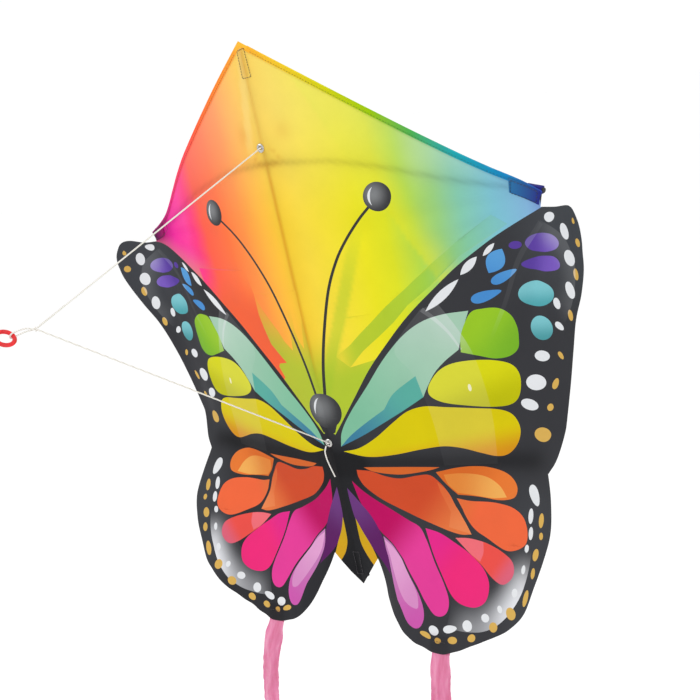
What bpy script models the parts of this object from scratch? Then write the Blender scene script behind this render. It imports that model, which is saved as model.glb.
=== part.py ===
"""A butterfly diamond kite: printed sail in two wings, a spine and a bowed spreader behind it, a
two-leg bridle on a tow ring, and two ribbon tails. Metres, +Z up along the spine, the sail facing
-Y. The world origin is the centre of the tow ring. Shapes are worked out in sail coordinates, with
their zero at the nose, and the empty called kite carries them to their place in the world."""

import math

import bmesh
import bpy
from mathutils import Vector

MM = 0.001

# Driving dimensions of the whole kite
RING_FORWARD = 0.384
RING_BELOW_NOSE = 0.2114

# The sail's form: y as a function of x and z, the same on both wings
DIHEDRAL_SLOPE = 0.14
DIHEDRAL_BEND = 0.34
FLAP_START = 0.262
FLAP_CURL = 6.0
FOLD_AT_EDGE = 0.47
FOLD_RISE = 0.10
FOLD_REACH = 0.26
LOWER_SWING = 0.62
LOWER_SWING_REACH = 0.13
LOWER_EASE = 0.02
RIM_START = 0.24
RIM_CURL = 0.35
RIM_EASE = 0.13
BILLOW = 9.5 * MM
BILLOW_REACH = 0.172
BILLOW_SPREAD = 0.042
BILLOW_EASE = 0.04
HOLLOW = 12.0 * MM
HOLLOW_REACH = 0.072
HOLLOW_SPREAD = 0.030
HOLLOW_DROP = 0.61
HOLLOW_EASE = 0.04

CLOTH = 0.6 * MM
CLOTH_GRID = 27 * MM
CUT_SNAP = 0.05 * MM
HEM_BEHIND = 0.9 * MM
TAB_BEHIND = 1.3 * MM
PATCH_AHEAD = 1.1 * MM
GAP = 0.3 * MM
STRIP_HALF = 7.0 * MM
HINGE_X = 7.3 * MM
WING_START = 7.6 * MM
NOSE_SLANT = 0.69
HEM_WIDTH = 7.0 * MM
HEM_INWARD = (-0.56, -0.83)
HEM_START = (0.0135, -0.0094)
HEM_STOP = (0.288, -0.1985)
TAIL_POINT = 0.652
TAIL_SHOULDER = (0.034, -0.614)

# Sticks and their fittings
SPINE_RADIUS = 2.2 * MM
SPINE_DEPTH = 5.9 * MM
SPINE_TOP = -6.0 * MM
SPINE_END = -0.643
CAP_WALL = 0.8 * MM
CAP_DEPTH = 11.0 * MM
CAP_ROUND = 0.6 * MM
POCKET_LENGTH = 30.0 * MM
POCKET_HALF = 3.7 * MM
POCKET_ROOM = 1.7 * MM
HUB_DROP = 0.1363
HUB_RADIUS = 4.3 * MM
HUB_HALF_HEIGHT = 11.0 * MM
HUB_STUB_RADIUS = 1.7 * MM
HUB_STUB_END = 12.5 * MM
BORE_OVERRUN = 1.2
ROD_RADIUS = 1.9 * MM
ROD_BEHIND = 6.0 * MM
ROD_START = 20.0 * MM
ROD_END = 0.3035
SLEEVE_START = 18.0 * MM
SLEEVE_END = 44.0 * MM
SLEEVE_RADIUS = 3.1 * MM
TIP_POCKET_RIM = 22.0 * MM
TIP_POCKET_LENGTH = 25.0 * MM
TIP_POCKET_HALVES = (3.3 * MM, 5.6 * MM)
TIP_POCKET_WALL = 0.7 * MM

# Bridle, ring and tails
CORD = 1.6 * MM
EYELET_DROPS = (0.1185, 0.4705)
EYELET_HOLE = 2.8 * MM
EYELET_RADIUS = 5.2 * MM
KNOT = (0.0, -0.350, -0.214)
KNOT_RADIUS = 2.6 * MM
RING_MIDDLE = 8.0 * MM
RING_THICKNESS = 2.0 * MM
TAIL_WIDTH = 26.0 * MM
TAIL_LENGTH = 0.594
TAIL_STEPS = 16
TAB_HEIGHT = 20.0 * MM
TAB_GAP = 0.6 * MM
TAIL_TOP = (0.1285, -0.7035)
TAIL_DRIFTS = {-1: 0.090, 1: 0.047}
TAIL_DRIFT_LENGTH = 0.14
TAIL_LEAN_START = 0.03

# The wing's edge from the nose side round to the tail point, as seen from the front
WING_EDGE = [
    (0.069, -0.0475),
    (0.136, -0.0950),
    (0.199, -0.1400),
    (0.254, -0.1780),
    (0.306, -0.2080),
    (0.300, -0.2240),
    (0.320, -0.2240),
    (0.342, -0.2220),
    (0.351, -0.2310),
    (0.355, -0.2480),
    (0.350, -0.2800),
    (0.338, -0.3100),
    (0.322, -0.3400),
    (0.309, -0.3750),
    (0.297, -0.4120),
    (0.283, -0.4570),
    (0.272, -0.4930),
    (0.262, -0.5090),
    (0.270, -0.5350),
    (0.2745, -0.5620),
    (0.269, -0.5870),
    (0.259, -0.6130),
    (0.247, -0.6400),
    (0.229, -0.6580),
    (0.207, -0.6710),
    (0.170, -0.6890),
    (0.148, -0.6980),
    (0.130, -0.7025),
    (0.108, -0.6995),
    (0.086, -0.6905),
    (0.066, -0.6720),
    (0.049, -0.6430),
    TAIL_SHOULDER,
]

# The stitched patch that covers the tip pocket on the front
TIP_PATCH = [(0.270, -0.1905), (0.3045, -0.2085), (0.2985, -0.2220), (0.268, -0.2060)]

# Where the spreader lies behind the sail: sideways reach and drop below the nose
SPREADER_ROUTE = [
    (0.020, -0.1368),
    (0.082, -0.1443),
    (0.138, -0.1590),
    (0.201, -0.1800),
    (0.260, -0.1985),
    (ROD_END, -0.2085),
]

# Free cord end at the lower eyelet, and the doubled end that lies along the upper leg
BRIDLE_END_ROUTE = [
    (-0.0010, -0.0030, -0.4732),
    (-0.0016, -0.0040, -0.4800),
    (0.0004, -0.0042, -0.4900),
    (0.0046, -0.0040, -0.5000),
    (0.0105, -0.0042, -0.5110),
]
KNOT_END_ROUTE = [
    (0.0024, -0.3460, -0.2115),
    (0.0030, -0.3360, -0.2085),
    (0.0028, -0.3240, -0.2055),
    (0.0030, -0.3130, -0.2020),
]


def clear_scene():
    for thing in list(bpy.data.objects):
        bpy.data.objects.remove(thing, do_unlink=True)


def material(name, colour, roughness, metallic=0.0):
    made = bpy.data.materials.new(name)
    made.use_nodes = True
    shader = made.node_tree.nodes["Principled BSDF"]
    shader.inputs["Base Color"].default_value = (*colour, 1.0)
    shader.inputs["Roughness"].default_value = roughness
    shader.inputs["Metallic"].default_value = metallic
    return made


def hump(value, middle, spread):
    return math.exp(-(((value - middle) / spread) ** 2))


def sail_depth(x, z):
    """How far the sail lies behind the fold lines at this place, seen from the front."""
    reach = abs(x)
    wing = DIHEDRAL_SLOPE * reach + DIHEDRAL_BEND * reach**2
    curl = FLAP_CURL * max(0.0, reach - FLAP_START) ** 2
    fold = FOLD_AT_EDGE + FOLD_RISE * (1 - reach / FOLD_REACH)
    below = max(0.0, -z - fold)
    eased = below**2 / (below + LOWER_EASE)
    swing = LOWER_SWING * (1 - math.exp(-reach / LOWER_SWING_REACH)) * eased
    rim = RIM_CURL * max(0.0, reach - RIM_START) * min(1.0, below / RIM_EASE)
    billow = BILLOW * hump(reach, BILLOW_REACH, BILLOW_SPREAD) * min(1.0, below / BILLOW_EASE)
    sunk = min(1.0, max(0.0, -z - HOLLOW_DROP) / HOLLOW_EASE)
    hollow = HOLLOW * hump(reach, HOLLOW_REACH, HOLLOW_SPREAD) * sunk
    return wing - curl - swing - rim + billow - hollow


def body(name, parent, place):
    """An empty on a joint's axis, at a place in sail coordinates."""
    empty = bpy.data.objects.new(name, None)
    bpy.context.collection.objects.link(empty)
    origin = Vector((0.0, 0.0, 0.0))
    if parent:
        empty.parent = parent
        origin = Vector(parent["place"])
    empty["place"] = place
    empty.location = Vector(place) - origin
    return empty


def add(name, data, holder, look):
    """Links a piece whose geometry is in sail coordinates under the empty of its body."""
    piece = bpy.data.objects.new(name, data)
    bpy.context.collection.objects.link(piece)
    piece.parent = holder
    piece.location = -Vector(holder["place"])
    piece.data.materials.append(look)
    return piece


def finish_mesh(work, name, smooth=False):
    bmesh.ops.recalc_face_normals(work, faces=work.faces[:])
    if work.calc_volume(signed=True) < 0:
        bmesh.ops.reverse_faces(work, faces=work.faces[:])
    mesh = bpy.data.meshes.new(name)
    work.to_mesh(mesh)
    work.free()
    if smooth:
        mesh.shade_smooth()
        mesh.set_sharp_from_angle(angle=math.radians(40))
    return mesh


def sheet(name, outline, front, back):
    """A solid of the sail's form inside an outline of (x, z) points, between two depths."""
    work = bmesh.new()
    work.faces.new([work.verts.new((x, 0.0, z)) for x, z in outline])
    bmesh.ops.triangulate(work, faces=work.faces[:], ngon_method="EAR_CLIP")
    for axis, normal in ((0, (1, 0, 0)), (2, (0, 0, 1))):
        places = [vert.co[axis] for vert in work.verts]
        first = math.floor(min(places) / CLOTH_GRID) + 1
        last = math.ceil(max(places) / CLOTH_GRID)
        for line in range(first, last):
            point = Vector(normal) * line * CLOTH_GRID
            everything = work.verts[:] + work.edges[:] + work.faces[:]
            bmesh.ops.bisect_plane(
                work,
                geom=everything,
                dist=CUT_SNAP,
                plane_co=point,
                plane_no=normal,
            )
    bmesh.ops.triangulate(work, faces=work.faces[:])
    made = bmesh.ops.extrude_face_region(work, geom=work.faces[:], use_keep_orig=True)
    raised = {item for item in made["geom"] if isinstance(item, bmesh.types.BMVert)}
    for vert in work.verts:
        depth = back if vert in raised else front
        vert.co.y = sail_depth(vert.co.x, vert.co.z) + depth
    return finish_mesh(work, name)


def stack(name, loops):
    """A closed solid skinned over loops of points, each with the same count, capped at both ends."""
    work = bmesh.new()
    rows = [[work.verts.new(point) for point in loop] for loop in loops]
    count = len(rows[0])
    for lower, upper in zip(rows, rows[1:]):
        for i in range(count):
            j = (i + 1) % count
            work.faces.new((lower[i], lower[j], upper[j], upper[i]))
    work.faces.new(rows[0])
    work.faces.new(rows[-1])
    return finish_mesh(work, name)


def turned(name, profile, base, axis, segments=20, ring=False):
    """A profile of (radius, height) points turned about an axis. A ring's profile is a closed loop."""
    work = bmesh.new()
    points = [work.verts.new((radius, 0.0, height)) for radius, height in profile]
    edges = [work.edges.new(pair) for pair in zip(points, points[1:])]
    if ring:
        edges.append(work.edges.new((points[-1], points[0])))
    bmesh.ops.spin(
        work,
        geom=points + edges,
        cent=(0, 0, 0),
        axis=(0, 0, 1),
        angle=2 * math.pi,
        steps=segments,
        use_merge=True,
    )
    bmesh.ops.remove_doubles(work, verts=work.verts[:], dist=1e-6)
    turn = Vector((0, 0, 1)).rotation_difference(Vector(axis)).to_matrix()
    for vert in work.verts:
        vert.co = turn @ vert.co + Vector(base)
    return finish_mesh(work, name, smooth=True)


def tube(name, points, radius):
    """A round bar or cord along points, with closed ends."""
    curve = bpy.data.curves.new(name, "CURVE")
    curve.dimensions = "3D"
    curve.bevel_depth = radius
    curve.bevel_resolution = 2
    curve.use_fill_caps = True
    spline = curve.splines.new("POLY")
    spline.points.add(len(points) - 1)
    for target, point in zip(spline.points, points):
        target.co = (*point, 1.0)
    return curve


def through(points, steps):
    """A smooth path through points, with this many steps between each two of them."""
    knots = [Vector(point) for point in points]
    knots = [2 * knots[0] - knots[1], *knots, 2 * knots[-1] - knots[-2]]
    path = []
    for before, start, end, after in zip(knots, knots[1:], knots[2:], knots[3:]):
        for step in range(steps):
            t = step / steps
            pull = (end - before) * t + (2 * before - 5 * start + 4 * end - after) * t**2
            path.append(start + (pull + (3 * start - before - 3 * end + after) * t**3) / 2)
    path.append(knots[-2])
    return path


def cup(name, inner, wall, depth, rim, axis, side):
    """A rectangular pouch. rim is the middle of its open end, axis points to its closed end, and
    inner holds its inner half sizes along side and across it."""
    axis = Vector(axis).normalized()
    side = Vector(side).normalized()
    across = axis.cross(side)

    def loop(extra, along):
        half_side, half_across = inner[0] + extra, inner[1] + extra
        corners = ((-1, -1), (1, -1), (1, 1), (-1, 1))
        centre = Vector(rim) + axis * along
        return [centre + side * half_side * a + across * half_across * b for a, b in corners]

    return stack(name, [loop(wall, depth + wall), loop(wall, 0), loop(0, 0), loop(0, depth)])


def cap_profile(inner_radius):
    """A turned end cap with its open end at height 0."""
    outer = inner_radius + CAP_WALL
    top = CAP_DEPTH + CAP_WALL
    return [
        (0.0, CAP_DEPTH),
        (inner_radius, CAP_DEPTH),
        (inner_radius, 0.0),
        (outer, 0.0),
        (outer, top - CAP_ROUND),
        (outer - CAP_ROUND, top),
        (0.0, top),
    ]


def spreader_path():
    """The right rod's middle line, close behind the sail and straight in its sleeve and cap."""
    flat = through([(x, 0.0, z) for x, z in SPREADER_ROUTE], 3)
    return [Vector((p.x, sail_depth(p.x, p.z) + ROD_BEHIND, p.z)) for p in flat]


def mirrored(points, side):
    return [(side * point[0], *point[1:]) for point in points]


def cylinder(name, start, end, radius, segments=20):
    start, end = Vector(start), Vector(end)
    length = (end - start).length
    profile = [(0.0, 0.0), (radius, 0.0), (radius, length), (0.0, length)]
    return turned(name, profile, start, end - start, segments)


def make_spine(kite, looks):
    top = (0.0, SPINE_DEPTH, SPINE_TOP)
    bottom = (0.0, SPINE_DEPTH, SPINE_END)
    add("spine", cylinder("spine", bottom, top, SPINE_RADIUS), kite, looks["rod"])
    profile = cap_profile(SPINE_RADIUS + GAP)
    lift = CAP_DEPTH - GAP
    nose_base = Vector(top) - Vector((0, 0, lift))
    tail_base = Vector(bottom) + Vector((0, 0, lift))
    nose_cap = turned("spine_nose_cap", profile, nose_base, (0, 0, 1))
    tail_cap = turned("spine_tail_cap", profile, tail_base, (0, 0, -1))
    add("spine_nose_cap", nose_cap, kite, looks["cap"])
    add("spine_tail_cap", tail_cap, kite, looks["cap"])
    inner = (POCKET_HALF, POCKET_HALF)
    down = Vector((0, 0, POCKET_LENGTH - POCKET_ROOM))
    nose_rim = Vector(top) - down
    tail_rim = Vector(bottom) + down
    walls = CAP_WALL, POCKET_LENGTH
    nose_pocket = cup("nose_pocket", inner, *walls, nose_rim, (0, 0, 1), (1, 0, 0))
    tail_pocket = cup("tail_pocket", inner, *walls, tail_rim, (0, 0, -1), (1, 0, 0))
    add("nose_pocket", nose_pocket, kite, looks["webbing"])
    add("tail_pocket", tail_pocket, kite, looks["webbing"])


def cut(piece, tool, operation):
    tool.hide_render = True
    tool.display_type = "WIRE"
    step = piece.modifiers.new(operation.lower(), "BOOLEAN")
    step.operation = operation
    step.object = tool


def make_hub(kite, looks):
    """The moulded cross: a barrel round the spine with a stub to each side."""
    middle = Vector((0.0, SPINE_DEPTH, -HUB_DROP))
    half = Vector((0, 0, HUB_HALF_HEIGHT))
    stub = Vector((HUB_STUB_END, 0, 0))
    barrel = cylinder("spreader_hub", middle - half, middle + half, HUB_RADIUS, 24)
    hub = add("spreader_hub", barrel, kite, looks["fitting"])
    bar = cylinder("hub_bar", middle - stub, middle + stub, HUB_STUB_RADIUS, 16)
    cut(hub, add("hub_bar", bar, kite, looks["fitting"]), "UNION")
    reach = half * BORE_OVERRUN
    bore = cylinder("hub_bore", middle - reach, middle + reach, SPINE_RADIUS + GAP)
    cut(hub, add("hub_bore", bore, kite, looks["fitting"]), "DIFFERENCE")


def make_middle_band(kite, looks):
    """The band of sail between the two fold lines, with its two bridle holes."""
    slant = STRIP_HALF * NOSE_SLANT
    shoulder = -TAIL_POINT + STRIP_HALF
    outline = [
        (0.0, 0.0),
        (STRIP_HALF, -slant),
        (STRIP_HALF, shoulder),
        (0.0, -TAIL_POINT),
        (-STRIP_HALF, shoulder),
        (-STRIP_HALF, -slant),
    ]
    band = sheet("sail_middle", outline, -CLOTH / 2, CLOTH / 2)
    piece = add("sail_middle", band, kite, looks["sail"])
    for name, drop in zip(("upper", "lower"), EYELET_DROPS):
        ends = (0.0, -5 * MM, -drop), (0.0, 5 * MM, -drop)
        hole = cylinder(f"hole_{name}", *ends, EYELET_HOLE)
        cut(piece, add(f"hole_{name}", hole, kite, looks["sail"]), "DIFFERENCE")


def make_eyelets(kite, looks):
    bore, barrel, back_radius = 2.3 * MM, 2.5 * MM, 4.2 * MM
    front, under, behind, back = -1.2 * MM, -0.6 * MM, 1.3 * MM, 1.9 * MM
    round_off = 0.3 * MM
    profile = [
        (bore, front + round_off),
        (bore + round_off, front),
        (EYELET_RADIUS - round_off, front),
        (EYELET_RADIUS, front + round_off),
        (EYELET_RADIUS, under),
        (barrel, under),
        (barrel, behind),
        (back_radius, behind),
        (back_radius, back),
        (bore, back),
    ]
    for name, drop in zip(("upper", "lower"), EYELET_DROPS):
        node = f"eyelet_{name}"
        mesh = turned(node, profile, (0, 0, -drop), (0, 1, 0), ring=True)
        add(node, mesh, kite, looks["metal"])


def make_ties(kite, looks):
    """The cord that goes back through each eyelet and round the spine."""
    strand, front = 0.95 * MM, -1.4 * MM
    wrap = SPINE_RADIUS + GAP + CORD / 2
    arc = [math.radians(angle) for angle in range(-60, 241, 30)]
    around = [(wrap * math.cos(a), SPINE_DEPTH + wrap * math.sin(a)) for a in arc]
    flat = [(strand, front), (strand, 0.6 * MM), *around, (-strand, 0.6 * MM), (-strand, front)]
    for name, drop in zip(("upper", "lower"), EYELET_DROPS):
        node = f"bridle_tie_{name}"
        path = through([(x, y, -drop) for x, y in flat], 2)
        add(node, tube(node, path, CORD / 2), kite, looks["cord"])
    end = through(BRIDLE_END_ROUTE, 3)
    add("bridle_end", tube("bridle_end", end, CORD / 2), kite, looks["cord"])


def make_bridle(holder, looks):
    """Two taut legs from the eyelets to a knot, and the loop that holds the ring."""
    knot = Vector(KNOT)
    for name, drop in zip(("upper", "lower"), EYELET_DROPS):
        node = f"bridle_{name}_leg"
        start = Vector((0.0, 0.0, -drop))
        way = knot - start
        first = start + way * (2.6 * MM / -way.y)
        last = knot - way.normalized() * (KNOT_RADIUS + GAP)
        path = [first.lerp(last, step / 10) for step in range(11)]
        add(node, tube(node, path, CORD / 2), holder, looks["cord"])
    arc = [math.radians(angle) for angle in range(-90, 91, 30)]
    radius = KNOT_RADIUS
    bead = [(radius * math.cos(a), radius * math.sin(a)) for a in arc]
    bead[0], bead[-1] = (0.0, -radius), (0.0, radius)
    mesh = turned("bridle_knot", bead, knot, (0, 1, 0), 12)
    add("bridle_knot", mesh, holder, looks["cord"])
    end = through(KNOT_END_ROUTE, 3)
    add("bridle_knot_end", tube("bridle_knot_end", end, CORD / 2), holder, looks["cord"])
    band = Vector((0.0, RING_MIDDLE - RING_FORWARD, -RING_BELOW_NOSE))
    wrap = RING_THICKNESS + GAP + CORD / 2
    begin = knot.y - KNOT_RADIUS - GAP
    half = [(1.1 * MM, begin, knot.z), (2.3 * MM, begin - 10 * MM, band.z)]
    turn = [math.radians(angle) for angle in range(0, -181, -30)]
    front = [(wrap * math.cos(a), band.y + wrap * math.sin(a), band.z) for a in turn]
    loop = through([*half, *front, *mirrored(half[::-1], -1)], 2)
    add("tow_loop", tube("tow_loop", loop, CORD / 2), holder, looks["cord"])


def make_ring(holder, looks):
    centre = (0.0, -RING_FORWARD, -RING_BELOW_NOSE)
    arc = [2 * math.pi * step / 10 for step in range(10)]
    thick = RING_THICKNESS
    section = [(RING_MIDDLE + thick * math.cos(a), thick * math.sin(a)) for a in arc]
    ring = turned("tow_ring", section, centre, (1, 0, 0), 28, ring=True)
    add("tow_ring", ring, holder, looks["ring"])


def make_sail(name, holder, side, looks):
    nose_side = WING_START * NOSE_SLANT
    outline = [(WING_START, -nose_side), *WING_EDGE]
    outline.append((WING_START, -TAIL_POINT + WING_START))
    mesh = sheet(f"sail_{name}", mirrored(outline, side), -CLOTH / 2, CLOTH / 2)
    add(f"sail_{name}", mesh, holder, looks["sail"])


def make_hem(name, holder, side, looks):
    """The folded edge band behind the leading edge."""
    edge = [HEM_START, *WING_EDGE[:4], HEM_STOP]
    step_x, step_z = (HEM_WIDTH * part for part in HEM_INWARD)
    inner = [(x + step_x, z + step_z) for x, z in edge]
    outline = mirrored(edge + inner[::-1], side)
    front = CLOTH / 2 + HEM_BEHIND
    mesh = sheet(f"hem_{name}", outline, front, front + CLOTH)
    add(f"hem_{name}", mesh, holder, looks["hem"])


def make_spreader(name, holder, side, looks):
    """A bowed rod with its vinyl sleeve, its end cap and the pocket that holds the cap."""
    path = [Vector((side * p.x, p.y, p.z)) for p in spreader_path()]
    node = f"spreader_{name}"
    add(node, tube(node, path, ROD_RADIUS), holder, looks["rod"])
    inward = (path[0] - path[2]).normalized()
    begin = path[0] + inward * (ROD_START - SLEEVE_START)
    length = SLEEVE_END - SLEEVE_START
    inner = ROD_RADIUS + GAP
    profile = [(inner, 0), (SLEEVE_RADIUS, 0), (SLEEVE_RADIUS, length), (inner, length)]
    node = f"hub_sleeve_{name}"
    add(node, turned(node, profile, begin, -inward, ring=True), holder, looks["vinyl"])
    outward = (path[-1] - path[-2]).normalized()
    base = path[-1] - outward * (CAP_DEPTH - GAP)
    node = f"tip_cap_{name}"
    cap = turned(node, cap_profile(ROD_RADIUS + GAP), base, outward)
    add(node, cap, holder, looks["cap"])
    rim = path[-1] - outward * TIP_POCKET_RIM
    node = f"tip_pocket_{name}"
    walls = TIP_POCKET_WALL, TIP_POCKET_LENGTH
    pocket = cup(node, TIP_POCKET_HALVES, *walls, rim, outward, (0, 1, 0))
    add(node, pocket, holder, looks["webbing"])


def make_tip_patch(name, holder, side, looks):
    front = -CLOTH / 2 - PATCH_AHEAD
    node = f"tip_patch_{name}"
    mesh = sheet(node, mirrored(TIP_PATCH, side), front - CLOTH, front)
    add(node, mesh, holder, looks["webbing"])


def make_tail_tab(name, holder, side, looks):
    x, z = TAIL_TOP
    half = TAIL_WIDTH / 2
    high, low = z + TAB_HEIGHT, z + TAB_GAP
    outline = [(x - half, high), (x + half, high), (x + half, low), (x - half, low)]
    front = CLOTH / 2 + TAB_BEHIND
    node = f"tail_tab_{name}"
    mesh = sheet(node, mirrored(outline, side), front, front + CLOTH)
    add(node, mesh, holder, looks["film"])


def tail_pivot(side):
    x, z = TAIL_TOP
    return side * x, sail_depth(x, z) + CLOTH + TAB_BEHIND, z


def make_tail(name, holder, side, looks):
    """A ribbon that leaves its tab towards -X and comes round to hang straight down."""
    start = Vector(tail_pivot(side))
    reach = TAIL_DRIFTS[side]
    loops = []
    for step in range(TAIL_STEPS + 1):
        drop = TAIL_LENGTH * step / TAIL_STEPS
        drift = reach * (1 - math.exp(-drop / TAIL_DRIFT_LENGTH))
        slope = reach / TAIL_DRIFT_LENGTH * math.exp(-drop / TAIL_DRIFT_LENGTH)
        lean = math.atan(slope) * min(1.0, drop / TAIL_LEAN_START)
        centre = start + Vector((-drift, 0, -drop))
        across = Vector((math.cos(lean), 0, -math.sin(lean))) * TAIL_WIDTH / 2
        thick = Vector((0, CLOTH / 2, 0))
        loops.append(
            [centre - across - thick, centre + across - thick, centre + across + thick]
            + [centre - across + thick]
        )
    node = f"tail_{name}"
    add(node, stack(node, loops), holder, looks["film"])


def make_looks():
    return {
        "sail": material("printed_polyester", (0.95, 0.62, 0.12), 0.55),
        "hem": material("hem_cloth", (0.90, 0.45, 0.10), 0.6),
        "webbing": material("webbing", (0.16, 0.10, 0.36), 0.7),
        "film": material("pink_film", (0.90, 0.38, 0.55), 0.3),
        "rod": material("glass_fibre_rod", (0.05, 0.05, 0.05), 0.4),
        "fitting": material("moulded_fitting", (0.03, 0.03, 0.03), 0.45),
        "vinyl": material("vinyl_sleeve", (0.04, 0.04, 0.04), 0.35),
        "cap": material("end_cap", (0.02, 0.02, 0.02), 0.5),
        "metal": material("nickel_eyelet", (0.75, 0.74, 0.70), 0.22, 1.0),
        "cord": material("bridle_cord", (0.90, 0.89, 0.85), 0.8),
        "ring": material("red_ring", (0.80, 0.03, 0.03), 0.3),
    }


def main():
    clear_scene()
    looks = make_looks()
    kite = body("kite", None, (0.0, 0.0, 0.0))
    kite.location = (0.0, RING_FORWARD, RING_BELOW_NOSE)
    make_spine(kite, looks)
    make_hub(kite, looks)
    make_middle_band(kite, looks)
    make_eyelets(kite, looks)
    make_ties(kite, looks)
    bridle = body("bridle_yaw", kite, (0.0, 0.0, -0.2945))
    make_bridle(bridle, looks)
    ring = body("ring_swing", bridle, (0.0, RING_MIDDLE - RING_FORWARD, -RING_BELOW_NOSE))
    make_ring(ring, looks)
    for name, side in (("left", -1), ("right", 1)):
        wing = body(f"wing_fold_{name}", kite, (side * HINGE_X, 0.0, -0.33))
        make_sail(name, wing, side, looks)
        make_hem(name, wing, side, looks)
        make_spreader(name, wing, side, looks)
        make_tip_patch(name, wing, side, looks)
        make_tail_tab(name, wing, side, looks)
        swing = body(f"tail_swing_{name}", wing, tail_pivot(side))
        make_tail(name, swing, side, looks)


main()
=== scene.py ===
import math

import bpy
from mathutils import Matrix, Vector, noise
from mathutils.geometry import delaunay_2d_cdt


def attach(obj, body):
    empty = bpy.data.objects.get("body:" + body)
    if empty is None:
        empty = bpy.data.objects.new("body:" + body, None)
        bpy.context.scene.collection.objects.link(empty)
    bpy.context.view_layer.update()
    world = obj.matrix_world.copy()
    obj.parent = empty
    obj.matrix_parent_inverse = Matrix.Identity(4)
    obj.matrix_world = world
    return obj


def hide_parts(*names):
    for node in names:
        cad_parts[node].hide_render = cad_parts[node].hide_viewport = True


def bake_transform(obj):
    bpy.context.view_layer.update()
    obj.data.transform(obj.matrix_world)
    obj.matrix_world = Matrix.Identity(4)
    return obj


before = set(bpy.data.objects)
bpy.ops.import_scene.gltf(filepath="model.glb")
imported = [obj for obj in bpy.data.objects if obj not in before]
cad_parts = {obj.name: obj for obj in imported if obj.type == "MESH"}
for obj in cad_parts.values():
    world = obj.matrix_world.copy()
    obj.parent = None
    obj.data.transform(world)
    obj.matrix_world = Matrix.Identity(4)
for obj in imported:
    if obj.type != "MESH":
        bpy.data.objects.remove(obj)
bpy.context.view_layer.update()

MM = 0.001

# The nose of the kite in the row frame. Shapes are worked out in sail coordinates: the nose at
# zero, x to the right seen from the front, y back from the viewer, z up.
NOSE = Vector((0.0, 0.384, 0.2114))

# The sail's form, as the frame has it
DIHEDRAL_SLOPE = 0.14
DIHEDRAL_BEND = 0.34
FLAP_START = 0.262
FLAP_CURL = 6.0
FOLD_AT_EDGE = 0.47
FOLD_RISE = 0.10
FOLD_REACH = 0.26
LOWER_SWING = 0.62
LOWER_SWING_REACH = 0.13
LOWER_EASE = 0.02
RIM_START = 0.24
RIM_CURL = 0.35
RIM_EASE = 0.13
BILLOW = 9.5 * MM
BILLOW_REACH = 0.172
BILLOW_SPREAD = 0.042
BILLOW_EASE = 0.04
HOLLOW = 12.0 * MM
HOLLOW_REACH = 0.072
HOLLOW_SPREAD = 0.030
HOLLOW_DROP = 0.61
HOLLOW_EASE = 0.04
TAIL_POINT = -0.652

# Sticks, fittings, cords
SPINE_DEPTH = 5.9 * MM
SPINE_RADIUS = 2.2 * MM
SPINE_TOP = -10.0 * MM
SPINE_END = -0.643
HUB_HEIGHT = -0.1363
ROD_BEHIND = 6.0 * MM
ROD_RADIUS = 1.9 * MM
CORD = 1.6 * MM
EYELET_HEIGHTS = {"upper": -0.1185, "lower": -0.4705}
EYELET_ASIDE = -3.2 * MM
KNOT = Vector((0.0, -0.350, -0.214))
KNOT_RADIUS = 2.6 * MM
RING_MIDDLE = 9.0 * MM
RING_THICKNESS = 2.1 * MM
RING_BAND = -0.376
RING_TILT = math.radians(50)

# The camera: where it looks, how far off, its turn round the kite and its tilt
TARGET = Vector((0.0, 0.0, -0.33))
CAMERA_DISTANCE = 1.5
CAMERA_AZIMUTH = math.radians(44.69)
CAMERA_ELEVATION = math.radians(13.03)
CAMERA_ROLL = math.radians(-13.05)
CAMERA_LENS = 67.4
CAMERA_SHIFT = (0.065, -0.030)

FLOOR_HEIGHT = -1.16
TIP_SAG = Vector((0.010, 0.0, -0.007))
PRINT_GRID = 4.5 * MM
EDGE_STEP = 2.2 * MM


# ---------------------------------------------------------------- camera, light and floor

def make_camera():
    camera = bpy.data.objects.new("camera", bpy.data.cameras.new("camera"))
    bpy.context.scene.collection.objects.link(camera)
    turn, lift, roll = CAMERA_AZIMUTH, CAMERA_ELEVATION, CAMERA_ROLL
    away = math.cos(lift)
    back = Vector((math.sin(turn) * away, -math.cos(turn) * away, math.sin(lift)))
    level = Vector((math.cos(turn), math.sin(turn), 0.0))
    upright = back.cross(level)
    right = level * math.cos(roll) + upright * math.sin(roll)
    up = upright * math.cos(roll) - level * math.sin(roll)
    placed = Matrix((right, up, back)).transposed().to_4x4()
    placed.translation = NOSE + TARGET + back * CAMERA_DISTANCE
    camera.matrix_world = placed
    camera.data.lens = CAMERA_LENS
    camera.data.sensor_width = 36
    camera.data.shift_x, camera.data.shift_y = CAMERA_SHIFT
    camera.data.clip_end = 50
    bpy.context.scene.camera = camera


def make_light():
    world = bpy.data.worlds.new("studio")
    bpy.context.scene.world = world
    world.use_nodes = True
    world.node_tree.nodes["Background"].inputs["Color"].default_value = (1, 1, 1, 1)
    world.node_tree.nodes["Background"].inputs["Strength"].default_value = 1.02
    bpy.context.scene.view_settings.view_transform = "Standard"
    for name, place, size, power in (
        ("key", (-1.6, -1.5, 1.5), 1.2, 26),
        ("side", (2.4, -0.9, 0.4), 1.0, 9),
    ):
        lamp = bpy.data.lights.new(name, "AREA")
        lamp.size = size
        lamp.energy = power
        light = bpy.data.objects.new(name, lamp)
        bpy.context.scene.collection.objects.link(light)
        light.location = place
        aim = NOSE + TARGET - Vector(place)
        light.rotation_euler = aim.to_track_quat("-Z", "Y").to_euler()


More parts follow.
